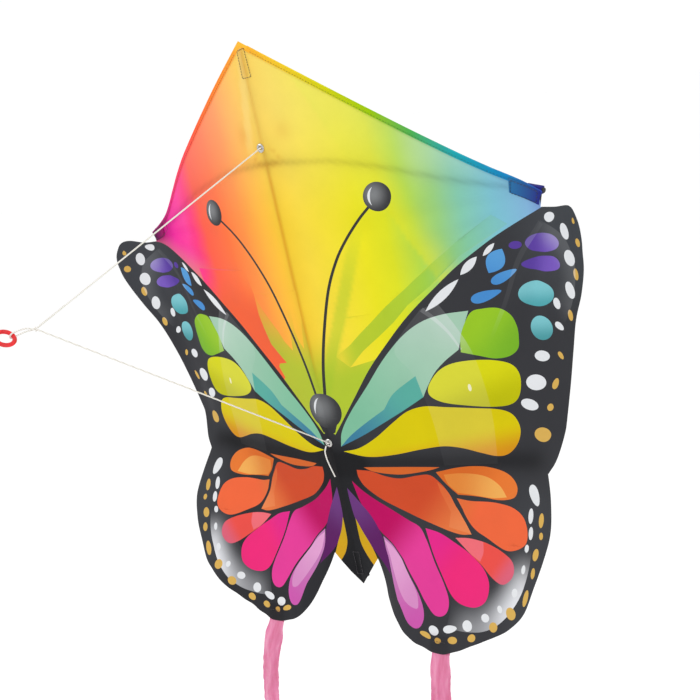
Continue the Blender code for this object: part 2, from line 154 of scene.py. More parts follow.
def make_floor():
    mesh = bpy.data.meshes.new("floor")
    reach = 12.0
    corners = [(-reach, -reach), (reach, -reach), (reach, reach), (-reach, reach)]
    mesh.from_pydata([(x, y, FLOOR_HEIGHT) for x, y in corners], [], [(0, 1, 2, 3)])
    floor = bpy.data.objects.new("floor", mesh)
    bpy.context.scene.collection.objects.link(floor)
    nodes = Look("pale_floor", (0.99, 0.99, 0.99), 0.9)
    grain = nodes.node("ShaderNodeTexNoise", Scale=3.0, Detail=2.0)
    tone = nodes.ramp(grain.outputs["Fac"], [(0.3, (0.985, 0.985, 0.985)), (0.7, (0.995, 0.995, 0.995))])
    nodes.link(tone, nodes.shader.inputs["Base Color"])
    mesh.materials.append(nodes.material)


# ---------------------------------------------------------------- materials

def linear(code):
    """A colour such as 'F5D20A' as linear light."""
    parts = [int(code[i:i + 2], 16) / 255 for i in (0, 2, 4)]
    return tuple(p / 12.92 if p < 0.04045 else ((p + 0.055) / 1.055) ** 2.4 for p in parts)


class Look:
    """A material under construction: a Principled shader and short ways to add nodes to it."""

    def __init__(self, name, colour, roughness, metallic=0.0):
        self.material = bpy.data.materials.new(name)
        self.material.use_nodes = True
        self.tree = self.material.node_tree
        self.shader = self.tree.nodes["Principled BSDF"]
        self.out = self.tree.nodes["Material Output"]
        self.shader.inputs["Base Color"].default_value = (*colour, 1)
        self.shader.inputs["Roughness"].default_value = roughness
        self.shader.inputs["Metallic"].default_value = metallic

    def node(self, kind, **values):
        made = self.tree.nodes.new(kind)
        for key, value in values.items():
            if key in made.inputs:
                made.inputs[key].default_value = value
            else:
                setattr(made, key, value)
        return made

    def link(self, source, target):
        self.tree.links.new(source, target)

    def metres(self):
        return self.node("ShaderNodeUVMap", uv_map="metres").outputs["UV"]

    def ramp(self, factor, stops):
        made = self.node("ShaderNodeValToRGB")
        while len(made.color_ramp.elements) < len(stops):
            made.color_ramp.elements.new(0.5)
        for element, (place, colour) in zip(made.color_ramp.elements, stops):
            element.position = place
            element.color = (*colour, 1)
        self.link(factor, made.inputs["Fac"])
        return made.outputs["Color"]

    def bump(self, height, strength, distance):
        made = self.node("ShaderNodeBump", Strength=strength, Distance=distance)
        self.link(height, made.inputs["Height"])
        self.link(made.outputs["Normal"], self.shader.inputs["Normal"])
        return made

    def mixed(self, first, second, factor, kind="MULTIPLY"):
        made = self.node("ShaderNodeMix", data_type="RGBA", blend_type=kind)
        made.inputs["Factor"].default_value = factor
        self.link(first, made.inputs["A"])
        self.link(second, made.inputs["B"])
        return made.outputs["Result"]

    def weave(self, pitch):
        """Crossing threads, 0 to 1, at this pitch in metres over the 'metres' map."""
        where = self.metres()
        waves = []
        for direction in ("X", "Y"):
            wave = self.node("ShaderNodeTexWave", bands_direction=direction, Distortion=0.6)
            wave.inputs["Scale"].default_value = 0.314 / pitch
            wave.inputs["Detail"].default_value = 1.0
            self.link(where, wave.inputs["Vector"])
            waves.append(wave.outputs["Color"])
        return self.mixed(waves[0], waves[1], 0.5, "MIX")


def cloth_look(name, roughness, sheer, pitch=0.9 * MM):
    """Printed polyester: the ink from the mesh, a fine weave, cloudy dye, light through it."""
    look = Look(name, (0.5, 0.5, 0.5), roughness)
    ink = look.node("ShaderNodeAttribute", attribute_name="ink").outputs["Color"]
    threads = look.weave(pitch)
    tint = look.ramp(threads, [(0.0, (0.93, 0.93, 0.93)), (1.0, (1.0, 1.0, 1.0))])
    dyed = look.mixed(ink, tint, 0.8)
    cloud = look.node("ShaderNodeTexNoise", Scale=22.0, Detail=4.0, Roughness=0.6)
    look.link(look.metres(), cloud.inputs["Vector"])
    depth = look.ramp(cloud.outputs["Fac"], [(0.3, (0.93, 0.94, 0.95)), (0.7, (1.0, 1.0, 1.0))])
    dyed = look.mixed(dyed, depth, 0.9)
    look.link(dyed, look.shader.inputs["Base Color"])
    rough = look.ramp(cloud.outputs["Fac"], [(0.3, (roughness - 0.08,) * 3),
        (0.7, (roughness + 0.08,) * 3)])
    look.link(rough, look.shader.inputs["Roughness"])
    look.shader.inputs["Specular IOR Level"].default_value = 0.10
    look.bump(threads, 0.25, 0.15 * MM)
    glow = look.node("ShaderNodeBsdfTranslucent")
    look.link(dyed, glow.inputs["Color"])
    blend = look.node("ShaderNodeMixShader")
    blend.inputs["Fac"].default_value = sheer
    look.link(look.shader.outputs["BSDF"], blend.inputs[1])
    look.link(glow.outputs["BSDF"], blend.inputs[2])
    look.link(blend.outputs["Shader"], look.out.inputs["Surface"])
    return look.material


def film_look():
    """Crinkled pink film for the tails, its pink in soft lengthwise bands, lighter and darker: painted
    sheen of the film's folds.
    """
    look = Look("pink_film", linear("E58AAE"), 0.26)
    where = look.metres()
    along = look.node("ShaderNodeMapping", vector_type="TEXTURE")
    along.inputs["Scale"].default_value = (0.008, 0.050, 1.0)
    look.link(where, along.inputs["Vector"])
    cloud = look.node("ShaderNodeTexNoise", Scale=1.0, Detail=3.0, Roughness=0.5)
    look.link(along.outputs["Vector"], cloud.inputs["Vector"])
    # The film's pink with lighter and darker bands along the tail: painted sheen of its soft folds.
    pink_with_painted_sheen = [(0.30, linear("C4567F")), (0.52, linear("D27098")), (0.74, linear("E090B0"))]
    dyed = look.ramp(cloud.outputs["Fac"], pink_with_painted_sheen)
    look.link(dyed, look.shader.inputs["Base Color"])
    crease = look.node("ShaderNodeTexVoronoi", feature="DISTANCE_TO_EDGE", Scale=45.0)
    look.link(where, crease.inputs["Vector"])
    look.bump(crease.outputs["Distance"], 0.35, 0.8 * MM)
    look.shader.inputs["Coat Weight"].default_value = 0.6
    look.shader.inputs["Coat Roughness"].default_value = 0.15
    glow = look.node("ShaderNodeBsdfTranslucent")
    look.link(dyed, glow.inputs["Color"])
    blend = look.node("ShaderNodeMixShader")
    blend.inputs["Fac"].default_value = 0.35
    look.link(look.shader.outputs["BSDF"], blend.inputs[1])
    look.link(glow.outputs["BSDF"], blend.inputs[2])
    look.link(blend.outputs["Shader"], look.out.inputs["Surface"])
    return look.material


def moulded_look(name, colour, roughness, grain=900.0):
    """Moulded plastic, vinyl or glass fibre: fine grain, and paler where it has rubbed."""
    look = Look(name, colour, roughness)
    where = look.node("ShaderNodeTexCoord").outputs["Object"]
    fine = look.node("ShaderNodeTexNoise", Scale=grain, Detail=3.0)
    look.link(where, fine.inputs["Vector"])
    worn = look.node("ShaderNodeTexNoise", Scale=90.0, Detail=4.0)
    look.link(where, worn.inputs["Vector"])
    pale = tuple(min(1.0, part * 1.5 + 0.012) for part in colour)
    tone = look.ramp(worn.outputs["Fac"], [(0.42, colour), (0.75, pale)])
    look.link(tone, look.shader.inputs["Base Color"])
    rough = look.ramp(worn.outputs["Fac"], [(0.3, (roughness,) * 3), (0.8, (roughness + 0.18,) * 3)])
    look.link(rough, look.shader.inputs["Roughness"])
    look.bump(fine.outputs["Fac"], 0.25, 0.1 * MM)
    return look.material


def fibre_look():
    """The rods: pultruded glass fibre with strands that run along them."""
    look = Look("glass_fibre", (0.012, 0.012, 0.013), 0.38)
    where = look.metres()
    stretch = look.node("ShaderNodeMapping", vector_type="TEXTURE")
    stretch.inputs["Scale"].default_value = (0.0006, 0.05, 1.0)
    look.link(where, stretch.inputs["Vector"])
    strands = look.node("ShaderNodeTexNoise", Scale=1.0, Detail=4.0)
    look.link(stretch.outputs["Vector"], strands.inputs["Vector"])
    tone = look.ramp(strands.outputs["Fac"], [(0.35, (0.008, 0.008, 0.009)), (0.7, (0.04, 0.04, 0.042))])
    look.link(tone, look.shader.inputs["Base Color"])
    look.bump(strands.outputs["Fac"], 0.3, 0.08 * MM)
    return look.material


def cord_look(name, colour, dark):
    """Twisted cord: slanting strands over its length and round it."""
    look = Look(name, colour, 0.85)
    where = look.node("ShaderNodeTexCoord").outputs["Object"]
    twist = look.node("ShaderNodeTexWave", bands_direction="DIAGONAL", Scale=260.0, Distortion=1.5)
    look.link(where, twist.inputs["Vector"])
    tone = look.ramp(twist.outputs["Fac"], [(0.1, dark), (0.6, colour)])
    look.link(tone, look.shader.inputs["Base Color"])
    look.shader.inputs["Sheen Weight"].default_value = 0.3
    look.bump(twist.outputs["Fac"], 0.6, 0.25 * MM)
    return look.material


def metal_look():
    look = Look("nickel", (0.55, 0.54, 0.52), 0.22, 1.0)
    where = look.node("ShaderNodeTexCoord").outputs["Object"]
    scuff = look.node("ShaderNodeTexNoise", Scale=900.0, Detail=4.0)
    look.link(where, scuff.inputs["Vector"])
    rough = look.ramp(scuff.outputs["Fac"], [(0.35, (0.12,) * 3), (0.7, (0.34,) * 3)])
    look.link(rough, look.shader.inputs["Roughness"])
    tone = look.ramp(scuff.outputs["Fac"], [(0.3, (0.36, 0.355, 0.34)), (0.7, (0.60, 0.59, 0.57))])
    look.link(tone, look.shader.inputs["Base Color"])
    look.bump(scuff.outputs["Fac"], 0.15, 0.05 * MM)
    return look.material


def make_looks():
    return {
        "sail": cloth_look("printed_polyester", 0.50, 0.34),
        "hem": cloth_look("hem_cloth", 0.55, 0.15),
        "patch": cloth_look("pocket_cloth", 0.62, 0.06, 1.3 * MM),
        "film": film_look(),
        "rod": fibre_look(),
        "fitting": moulded_look("moulded_fitting", (0.012, 0.012, 0.013), 0.42),
        "vinyl": moulded_look("vinyl_sleeve", (0.018, 0.018, 0.020), 0.30, 400.0),
        "cap": moulded_look("end_cap", (0.010, 0.010, 0.011), 0.50),
        "metal": metal_look(),
        "cord": cord_look("bridle_cord", linear("EDEBE6"), linear("CDC9C0")),
        "thread": cord_look("dark_thread", linear("2E2830"), linear("141216")),
        "ring": moulded_look("red_ring", linear("D21019"), 0.28),
    }


# ---------------------------------------------------------------- the sail's form

def hump(value, middle, spread):
    return math.exp(-(((value - middle) / spread) ** 2))


def sail_depth(x, z):
    """How far the taut sail lies behind the fold lines at this place."""
    reach = abs(x)
    wing = DIHEDRAL_SLOPE * reach + DIHEDRAL_BEND * reach**2
    curl = FLAP_CURL * max(0.0, reach - FLAP_START) ** 2
    fold = FOLD_AT_EDGE + FOLD_RISE * (1 - reach / FOLD_REACH)
    below = max(0.0, -z - fold)
    eased = below**2 / (below + LOWER_EASE)
    swing = LOWER_SWING * (1 - math.exp(-reach / LOWER_SWING_REACH)) * eased
    rim = RIM_CURL * max(0.0, reach - RIM_START) * min(1.0, below / RIM_EASE)
    billow = BILLOW * hump(reach, BILLOW_REACH, BILLOW_SPREAD) * min(1.0, below / BILLOW_EASE)
    sunk = min(1.0, max(0.0, -z - HOLLOW_DROP) / HOLLOW_EASE)
    hollow = HOLLOW * hump(reach, HOLLOW_REACH, HOLLOW_SPREAD) * sunk
    return wing - curl - swing - rim + billow - hollow


def smooth(low, high, value):
    t = max(0.0, min(1.0, (value - low) / (high - low)))
    return t * t * (3 - 2 * t)


def sagged(point, side):
    """A point of the sail's form, in the row frame: the left tip hangs a little low and far in."""
    if side > 0:
        return point
    reach, z = abs(point.x), point.z - NOSE.z
    share = smooth(0.16, 0.30, reach) * smooth(0.335, 0.312, reach) * smooth(-0.236, -0.214, z)
    return point + TIP_SAG * share


def wrinkle(x, z):
    """Soft billow and pulled creases on top of the taut form."""
    reach = abs(x)
    free = smooth(0.016, 0.06, reach)
    off_edge = smooth(0.0, 0.03, -z - 0.70 * reach)
    wave = noise.noise(Vector((x * 9, z * 6, 1.7))) * 2.2 * MM
    wave += noise.noise(Vector((x * 26 + z * 9, z * 11, 5.2))) * 0.8 * MM
    angle = math.atan2(-z - 0.21, 0.31 - reach)
    from_tip = math.hypot(0.31 - reach, z + 0.21)
    pull = math.sin(angle * 17 + 2.0 * math.sin(angle * 5)) * 0.9 * MM
    wave += pull * smooth(0.03, 0.09, from_tip) * smooth(0.30, 0.12, from_tip)
    low = smooth(-0.50, -0.60, z)
    gather = math.sin(reach * 300 + 1.5 * math.sin(z * 60)) * 0.45 * MM
    wave += gather * smooth(-0.655, -0.695, z)
    wave += noise.noise(Vector((x * 45, z * 24, 8.8))) * 1.1 * MM * low
    crumple = noise.noise(Vector((x * 120, z * 90, 3.1))) * 1.4 * MM
    return wave * free * off_edge + crumple * smooth(-0.585, -0.64, z) * smooth(0.04, 0.015, reach)


def on_sail(x, z, ahead=0.0):
    return Vector((x, sail_depth(x, z) + wrinkle(x, z) - ahead, z))


# ---------------------------------------------------------------- outlines

def catmull(points, closed, step):
    """A smooth path through (x, z) points, with about this step between its points."""
    count = len(points)
    path = []
    for i in range(count if closed else count - 1):
        if closed:
            a, b, c, d = (points[(i + k) % count] for k in (-1, 0, 1, 2))
        else:
            b, c = points[i], points[i + 1]
            a = points[i - 1] if i else (2 * b[0] - c[0], 2 * b[1] - c[1])
            d = points[i + 2] if i + 2 < count else (2 * c[0] - b[0], 2 * c[1] - b[1])
        steps = max(1, round(math.dist(b, c) / step))
        for k in range(steps):
            t = k / steps
            path.append(tuple(
                (2 * q + (r - p) * t + (2 * p - 5 * q + 4 * r - s) * t**2
                 + (3 * q - p - 3 * r + s) * t**3) / 2
                for p, q, r, s in zip(a, b, c, d)
            ))
    if not closed:
        path.append(points[-1])
    return path


def shape(points, corners=(), step=EDGE_STEP):
    """A closed outline, smooth except at the points whose numbers are in corners."""
    if not corners:
        return catmull(points, True, step)
    marks = sorted(corners)
    path = []
    for first, last in zip(marks, marks[1:] + [marks[0] + len(points)]):
        run = [points[i % len(points)] for i in range(first, last + 1)]
        path += catmull(run, False, step)[:-1]
    return path


def egg(x, z, half_x, half_z, tilt=0.0, point=0.0):
    """An oval, tilted in degrees, drawn to a point towards its +x end as point nears 1."""
    turn = math.radians(tilt)
    count = max(12, round(math.tau * max(half_x, half_z) / EDGE_STEP))
    path = []
    for k in range(count):
        a = math.tau * k / count
        u = half_x * math.cos(a)
        v = half_z * math.sin(a) * (1 - point * (0.5 + 0.5 * math.cos(a)))
        path.append((
            x + u * math.cos(turn) - v * math.sin(turn),
            z + u * math.sin(turn) + v * math.cos(turn),
        ))
    return path


def leaf(x, z, half_long, half_wide, tilt):
    """A leaf with a point at both ends, tilted in degrees."""
    turn = math.radians(tilt)
    count = max(5, round(2 * half_long / EDGE_STEP))
    ends = [half_long * (2 * k / count - 1) for k in range(count + 1)]
    upper = [(u, half_wide * (1 - (u / half_long) ** 2)) for u in ends]
    rim = upper + [(u, -v) for u, v in upper[-2:0:-1]]
    return [
        (x + u * math.cos(turn) - v * math.sin(turn), z + u * math.sin(turn) + v * math.cos(turn))
        for u, v in rim
    ]


def band(points, widths):
    """A closed outline round a path of (x, z) points, with a half width at each end."""
    path = catmull(points, False, 3 * MM)
    left, right = [], []
    for i, here in enumerate(path):
        ahead, behind = path[min(i + 1, len(path) - 1)], path[max(i - 1, 0)]
        run = math.dist(ahead, behind)
        across = (-(ahead[1] - behind[1]) / run, (ahead[0] - behind[0]) / run)
        half = widths[0] + (widths[1] - widths[0]) * i / (len(path) - 1)
        left.append((here[0] + across[0] * half, here[1] + across[1] * half))
        right.append((here[0] - across[0] * half, here[1] - across[1] * half))
    return left + right[::-1]


def crescent(x, z, radius, start, end, width):
    """A thin moon along a circle, from one angle to another in degrees."""
    angles = [math.radians(start + (end - start) * k / 10) for k in range(11)]
    outer = [(x + radius * math.cos(a), z + radius * math.sin(a)) for a in angles]
    inner = []
    for k, a in enumerate(angles):
        thin = radius - width * math.sin(math.pi * k / 10)
        inner.append((x + thin * math.cos(a), z + thin * math.sin(a)))
    return outer + inner[-2:0:-1]


# The cloth's edge, from the nose round to the point of the tail
LEADING_EDGE = [
    (0.0, 0.0), (0.069, -0.0475), (0.136, -0.0950),
    (0.199, -0.1400), (0.254, -0.1780), (0.306, -0.2080),
]
FLAP_EDGE = [
    (0.300, -0.2240), (0.320, -0.2240), (0.342, -0.2220), (0.351, -0.2310), (0.355, -0.2480),
    (0.350, -0.2800), (0.338, -0.3100), (0.322, -0.3400), (0.309, -0.3750), (0.297, -0.4120),
    (0.283, -0.4570), (0.272, -0.4930), (0.262, -0.5090),
]
LOWER_EDGE = [
    (0.262, -0.5090), (0.270, -0.5350), (0.2745, -0.5620), (0.269, -0.5870), (0.259, -0.6130),
    (0.247, -0.6400), (0.229, -0.6580), (0.207, -0.6710), (0.170, -0.6890), (0.148, -0.6980),
    (0.130, -0.7025), (0.108, -0.6995), (0.086, -0.6905),
    (0.066, -0.6720), (0.049, -0.6430), (0.034, -0.6140),
]


def cloth_outline():
    edge = (
        catmull(LEADING_EDGE, False, 3 * MM)[:-1]
        + catmull([LEADING_EDGE[-1], FLAP_EDGE[0]], False, 3 * MM)[:-1]
    )
    edge += catmull(FLAP_EDGE, False, 3 * MM)[:-1] + catmull(LOWER_EDGE, False, 3 * MM)
    down = [(0.0, TAIL_POINT * k / 140) for k in range(140, 0, -1)]
    return edge + down


# ---------------------------------------------------------------- inks

def mix(a, b, t):
    return tuple(p + (q - p) * t for p, q in zip(a, b))


def stops(table, value):
    """A colour between the stops of a (place, colour) table in rising order."""
    if value <= table[0][0]:
        return table[0][1]
    for (low, first), (high, second) in zip(table, table[1:]):
        if value <= high:
            return mix(first, second, (value - low) / (high - low))
    return table[-1][1]


SKY = [(place, linear(code)) for place, code in [
    (-0.30, "B8107C"), (-0.262, "F0289C"), (-0.22, "FC3C9C"),
    (-0.194, "FC3882"), (-0.178, "FC4A68"), (-0.163, "FB5E48"),
    (-0.115, "FD7440"), (-0.075, "FD9244"), (-0.045, "FDB040"),
    (-0.005, "F9CC34"), (0.03, "F6D840"), (0.06, "F2DE36"),
    (0.10, "EAE220"), (0.13, "DCE024"), (0.16, "B4D848"),
    (0.19, "98CE7C"), (0.215, "84C8AC"), (0.25, "7CC0D0"),
    (0.285, "84B4DA"), (0.32, "6A6AC4"),
]]
HEM = [(place, linear(code)) for place, code in [
    (-0.30, "A01474"), (-0.24, "EC2488"), (-0.19, "F84868"), (-0.12, "FC6C3C"), (-0.05, "FC9A34"),
    (0.0, "F8B438"), (0.04, "F4CE30"), (0.09, "DCD80C"), (0.14, "A6D000"), (0.18, "54BC58"),
    (0.22, "22B0B8"), (0.265, "1890C8"), (0.31, "3C3CA8"),
]]
SPAR_LINE = [
    (0.0, -0.1363), (0.082, -0.1443), (0.138, -0.1590),
    (0.201, -0.1800), (0.260, -0.1985), (0.31, -0.2085),
]
BLACK = linear("302E31")
GREY = linear("474A4F")
WHITE = linear("E9EBEE")
GOLD = linear("DDB25A")
LIME = linear("A6C832")
GREEN = linear("7CC246")
FLAME = linear("F8643A")
SKY_LIFT = 1.07
HEM_LIFT = 1.22


def beside_line(x, z, start, end):
    """Distance from the line through two points, and how far along it, 0 to 1."""
    dx, dz = end[0] - start[0], end[1] - start[1]
    length = math.hypot(dx, dz)
    return (
        ((x - start[0]) * dz - (z - start[1]) * dx) / length,
        ((x - start[0]) * dx + (z - start[1]) * dz) / length**2,
    )


def open_sky(side, x, z):
    """The rainbow of the upper sail, with faint creases painted in: painted shade on one side of a crease
    on the right, a painted highlight along a crease on the left.
    """
    place = side * x
    fan = place + (0.05 * (z + 0.12) if place < 0 else 0.0)
    ink = stops(SKY, fan)
    pale = 0.09 * smooth(-0.22, -0.06, z) + 0.12 * smooth(-0.20, -0.15, z) * smooth(0.15, 0.19, place)
    if side > 0:
        off, along = beside_line(x, z, (0.012, -0.40), (0.090, -0.235))
        ink = mix(ink, LIME, 0.50 * smooth(0.010, 0.005, abs(off)) * smooth(1.25, 0.6, along))
        # Painted shade on one side of a faint crease in the yellow.
        off, along = beside_line(x, z, (0.040, -0.02), (0.085, -0.11))
        ink = mix(ink, stops(SKY, 0.11), 0.5 * smooth(0.0, 0.004, -off) * smooth(0.04, 0.0, -off))
    else:
        # A pale line along a faint crease: painted highlight.
        off, along = beside_line(x, z, (0.010, -0.02), (0.030, -0.115))
        ink = mix(ink, linear("FDDA70"), 0.45 * smooth(0.0, 0.003, off) * smooth(0.016, 0.011,
            off) * smooth(1.2, 0.9, along))
    ink = mix(ink, (1.0, 1.0, 1.0), pale)
    return shaded_by_sticks(tuple(SKY_LIFT * part for part in ink), x, z)


def sky_ink(side, x, z):
    """The whole sky: the rainbow, turning lime down by the butterfly's head."""
    if side > 0:
        near_head = 0.85 * smooth(-0.325, -0.395, z - 0.15 * (x - 0.05))
    else:
        near_head = 0.85 * smooth(-0.295, -0.385, z - 0.35 * (x - 0.03))
    return mix(open_sky(side, x, z), LIME, near_head)


def flame_ink(side, x, z):
    """The red flame that points down the left wing to the head."""
    return mix(open_sky(side, x, z), FLAME, smooth(-0.262, -0.320, z))


def streak_ink(side, x, z):
    """The green streak that runs out from the head along the right wing."""
    green = mix(LIME, GREEN, smooth(0.08, 0.20, x))
    return mix(open_sky(side, x, z), green, (0.78 - 0.60 * smooth(0.10, 0.22, x)) * smooth(0.025, 0.065, x))


def shaded_by_sticks(ink, x, z):
    """Painted shade: the shadows of the spar, hub and spine seen through the cloth where they touch it, and
    painted shade along the fold and in the puckers by the hub.
    """
    spar = SPAR_LINE[0][1]
    for (x0, z0), (x1, z1) in zip(SPAR_LINE, SPAR_LINE[1:]):
        if x0 <= x <= x1:
            spar = z0 + (z1 - z0) * (x - x0) / (x1 - x0)
    # Painted shadow of the spar behind the cloth, along its line.
    rod = 0.15 * hump(z - spar, 0.0, 2.8 * MM) * smooth(0.30, 0.26, x)
    # Painted shade along the spine's fold, stronger below the hub.
    fold = hump(x, 0.0, 1.0 * MM) * (0.16 + 0.26 * smooth(-0.13, -0.16, z))
    # Painted shadow of the hub.
    hub = 0.30 * hump(x, 0.008, 0.012) * hump(z, -0.1375, 0.0035)
    # Painted shade of the cloth's puckers just above the hub.
    hub_pucker_shade = 0.16 * hump(x, 0.031, 0.010) * hump(z, -0.103, 0.011)
    # Painted shade along a pucker crease below the hub.
    off, along = beside_line(x, z, (0.007, -0.117), (0.022, -0.135))
    pucker = 0.20 * hump(off, 0.0, 1.8 * MM) * smooth(-0.1, 0.2, along) * smooth(1.15, 0.9, along)
    # All the painted shade, in warm tones: red drops least, blue most.
    painted_shade_amount = min(0.6, fold + hub + hub_pucker_shade + pucker)
    red, green, blue = (part * (1 - rod) for part in ink)
    return red * (1 - 0.35 * painted_shade_amount), green * (1 - 0.8 * painted_shade_amount), blue * (1 - painted_shade_amount)


def faded(first, second, start, end):
    """An ink that turns from one colour to another from start to end."""
    one, two = linear(first), linear(second)

    def ink(side, x, z):
        off, along = beside_line(x, z, start, end)
        return mix(one, two, smooth(0.0, 1.0, along))
    return ink


def plain(colour):
    return lambda side, x, z: colour


def black_ink(side, x, z):
    """The wings' black: paler at the rims, deeper on the body, with painted shade over the left wing and a
    painted shadow band in the fold between the upper and lower wing.
    """
    top = smooth(-0.36, -0.26, z) * smooth(0.235, 0.31, x)
    lower = smooth(-0.50, -0.56, z) * smooth(0.20, 0.25, x)
    ink = mix(BLACK, GREY, 0.35 + 0.5 * top)
    ink = mix(ink, GREY, 0.5 * lower)
    body = 0.65 * smooth(0.055, 0.02, x) * smooth(-0.45, -0.49, z)
    # Painted shadow in the fold between the upper and lower wing.
    gap = 0.55 * hump(z, -0.497, 0.012) * smooth(0.27, 0.24, x)
    # On the left wing inside its rim, painted shade all over.
    deep = min(0.8, body + gap + (0.35 * smooth(0.26, 0.20, x) if side < 0 else 0.0))
    return mix(ink, (0.006, 0.006, 0.007), deep)


GLOW_CENTRE = (0.157, -0.583)
GLOW_RADIUS = 0.0925


def glow_ink(side, x, z):
    """The pale crescent inside the lower wing's rim."""
    across, up = x - GLOW_CENTRE[0], z - GLOW_CENTRE[1]
    off = math.hypot(across, up) / GLOW_RADIUS
    turn = math.degrees(math.atan2(up, across))
    bright = (0.26 + 0.64 * hump(turn, -36, 27)) * smooth(4, -22, turn) * smooth(-106, -82, turn)
    return mix(mix(BLACK, GREY, 0.4), linear("F2F3F8"), bright * smooth(0.60, 1.0, off) ** 1.25)


def ball_ink(centre, radius):
    def ink(side, x, z):
        lit = math.hypot(x * side - centre[0] * side + 0.25 * radius, z - centre[1] - 0.2 * radius)
        return mix(linear("86888A"), linear("3A3A3C"), smooth(0.0, 1.25 * radius, lit))
    return ink


def hem_ink(side, x, z):
    return tuple(HEM_LIFT * part for part in stops(HEM, side * x))


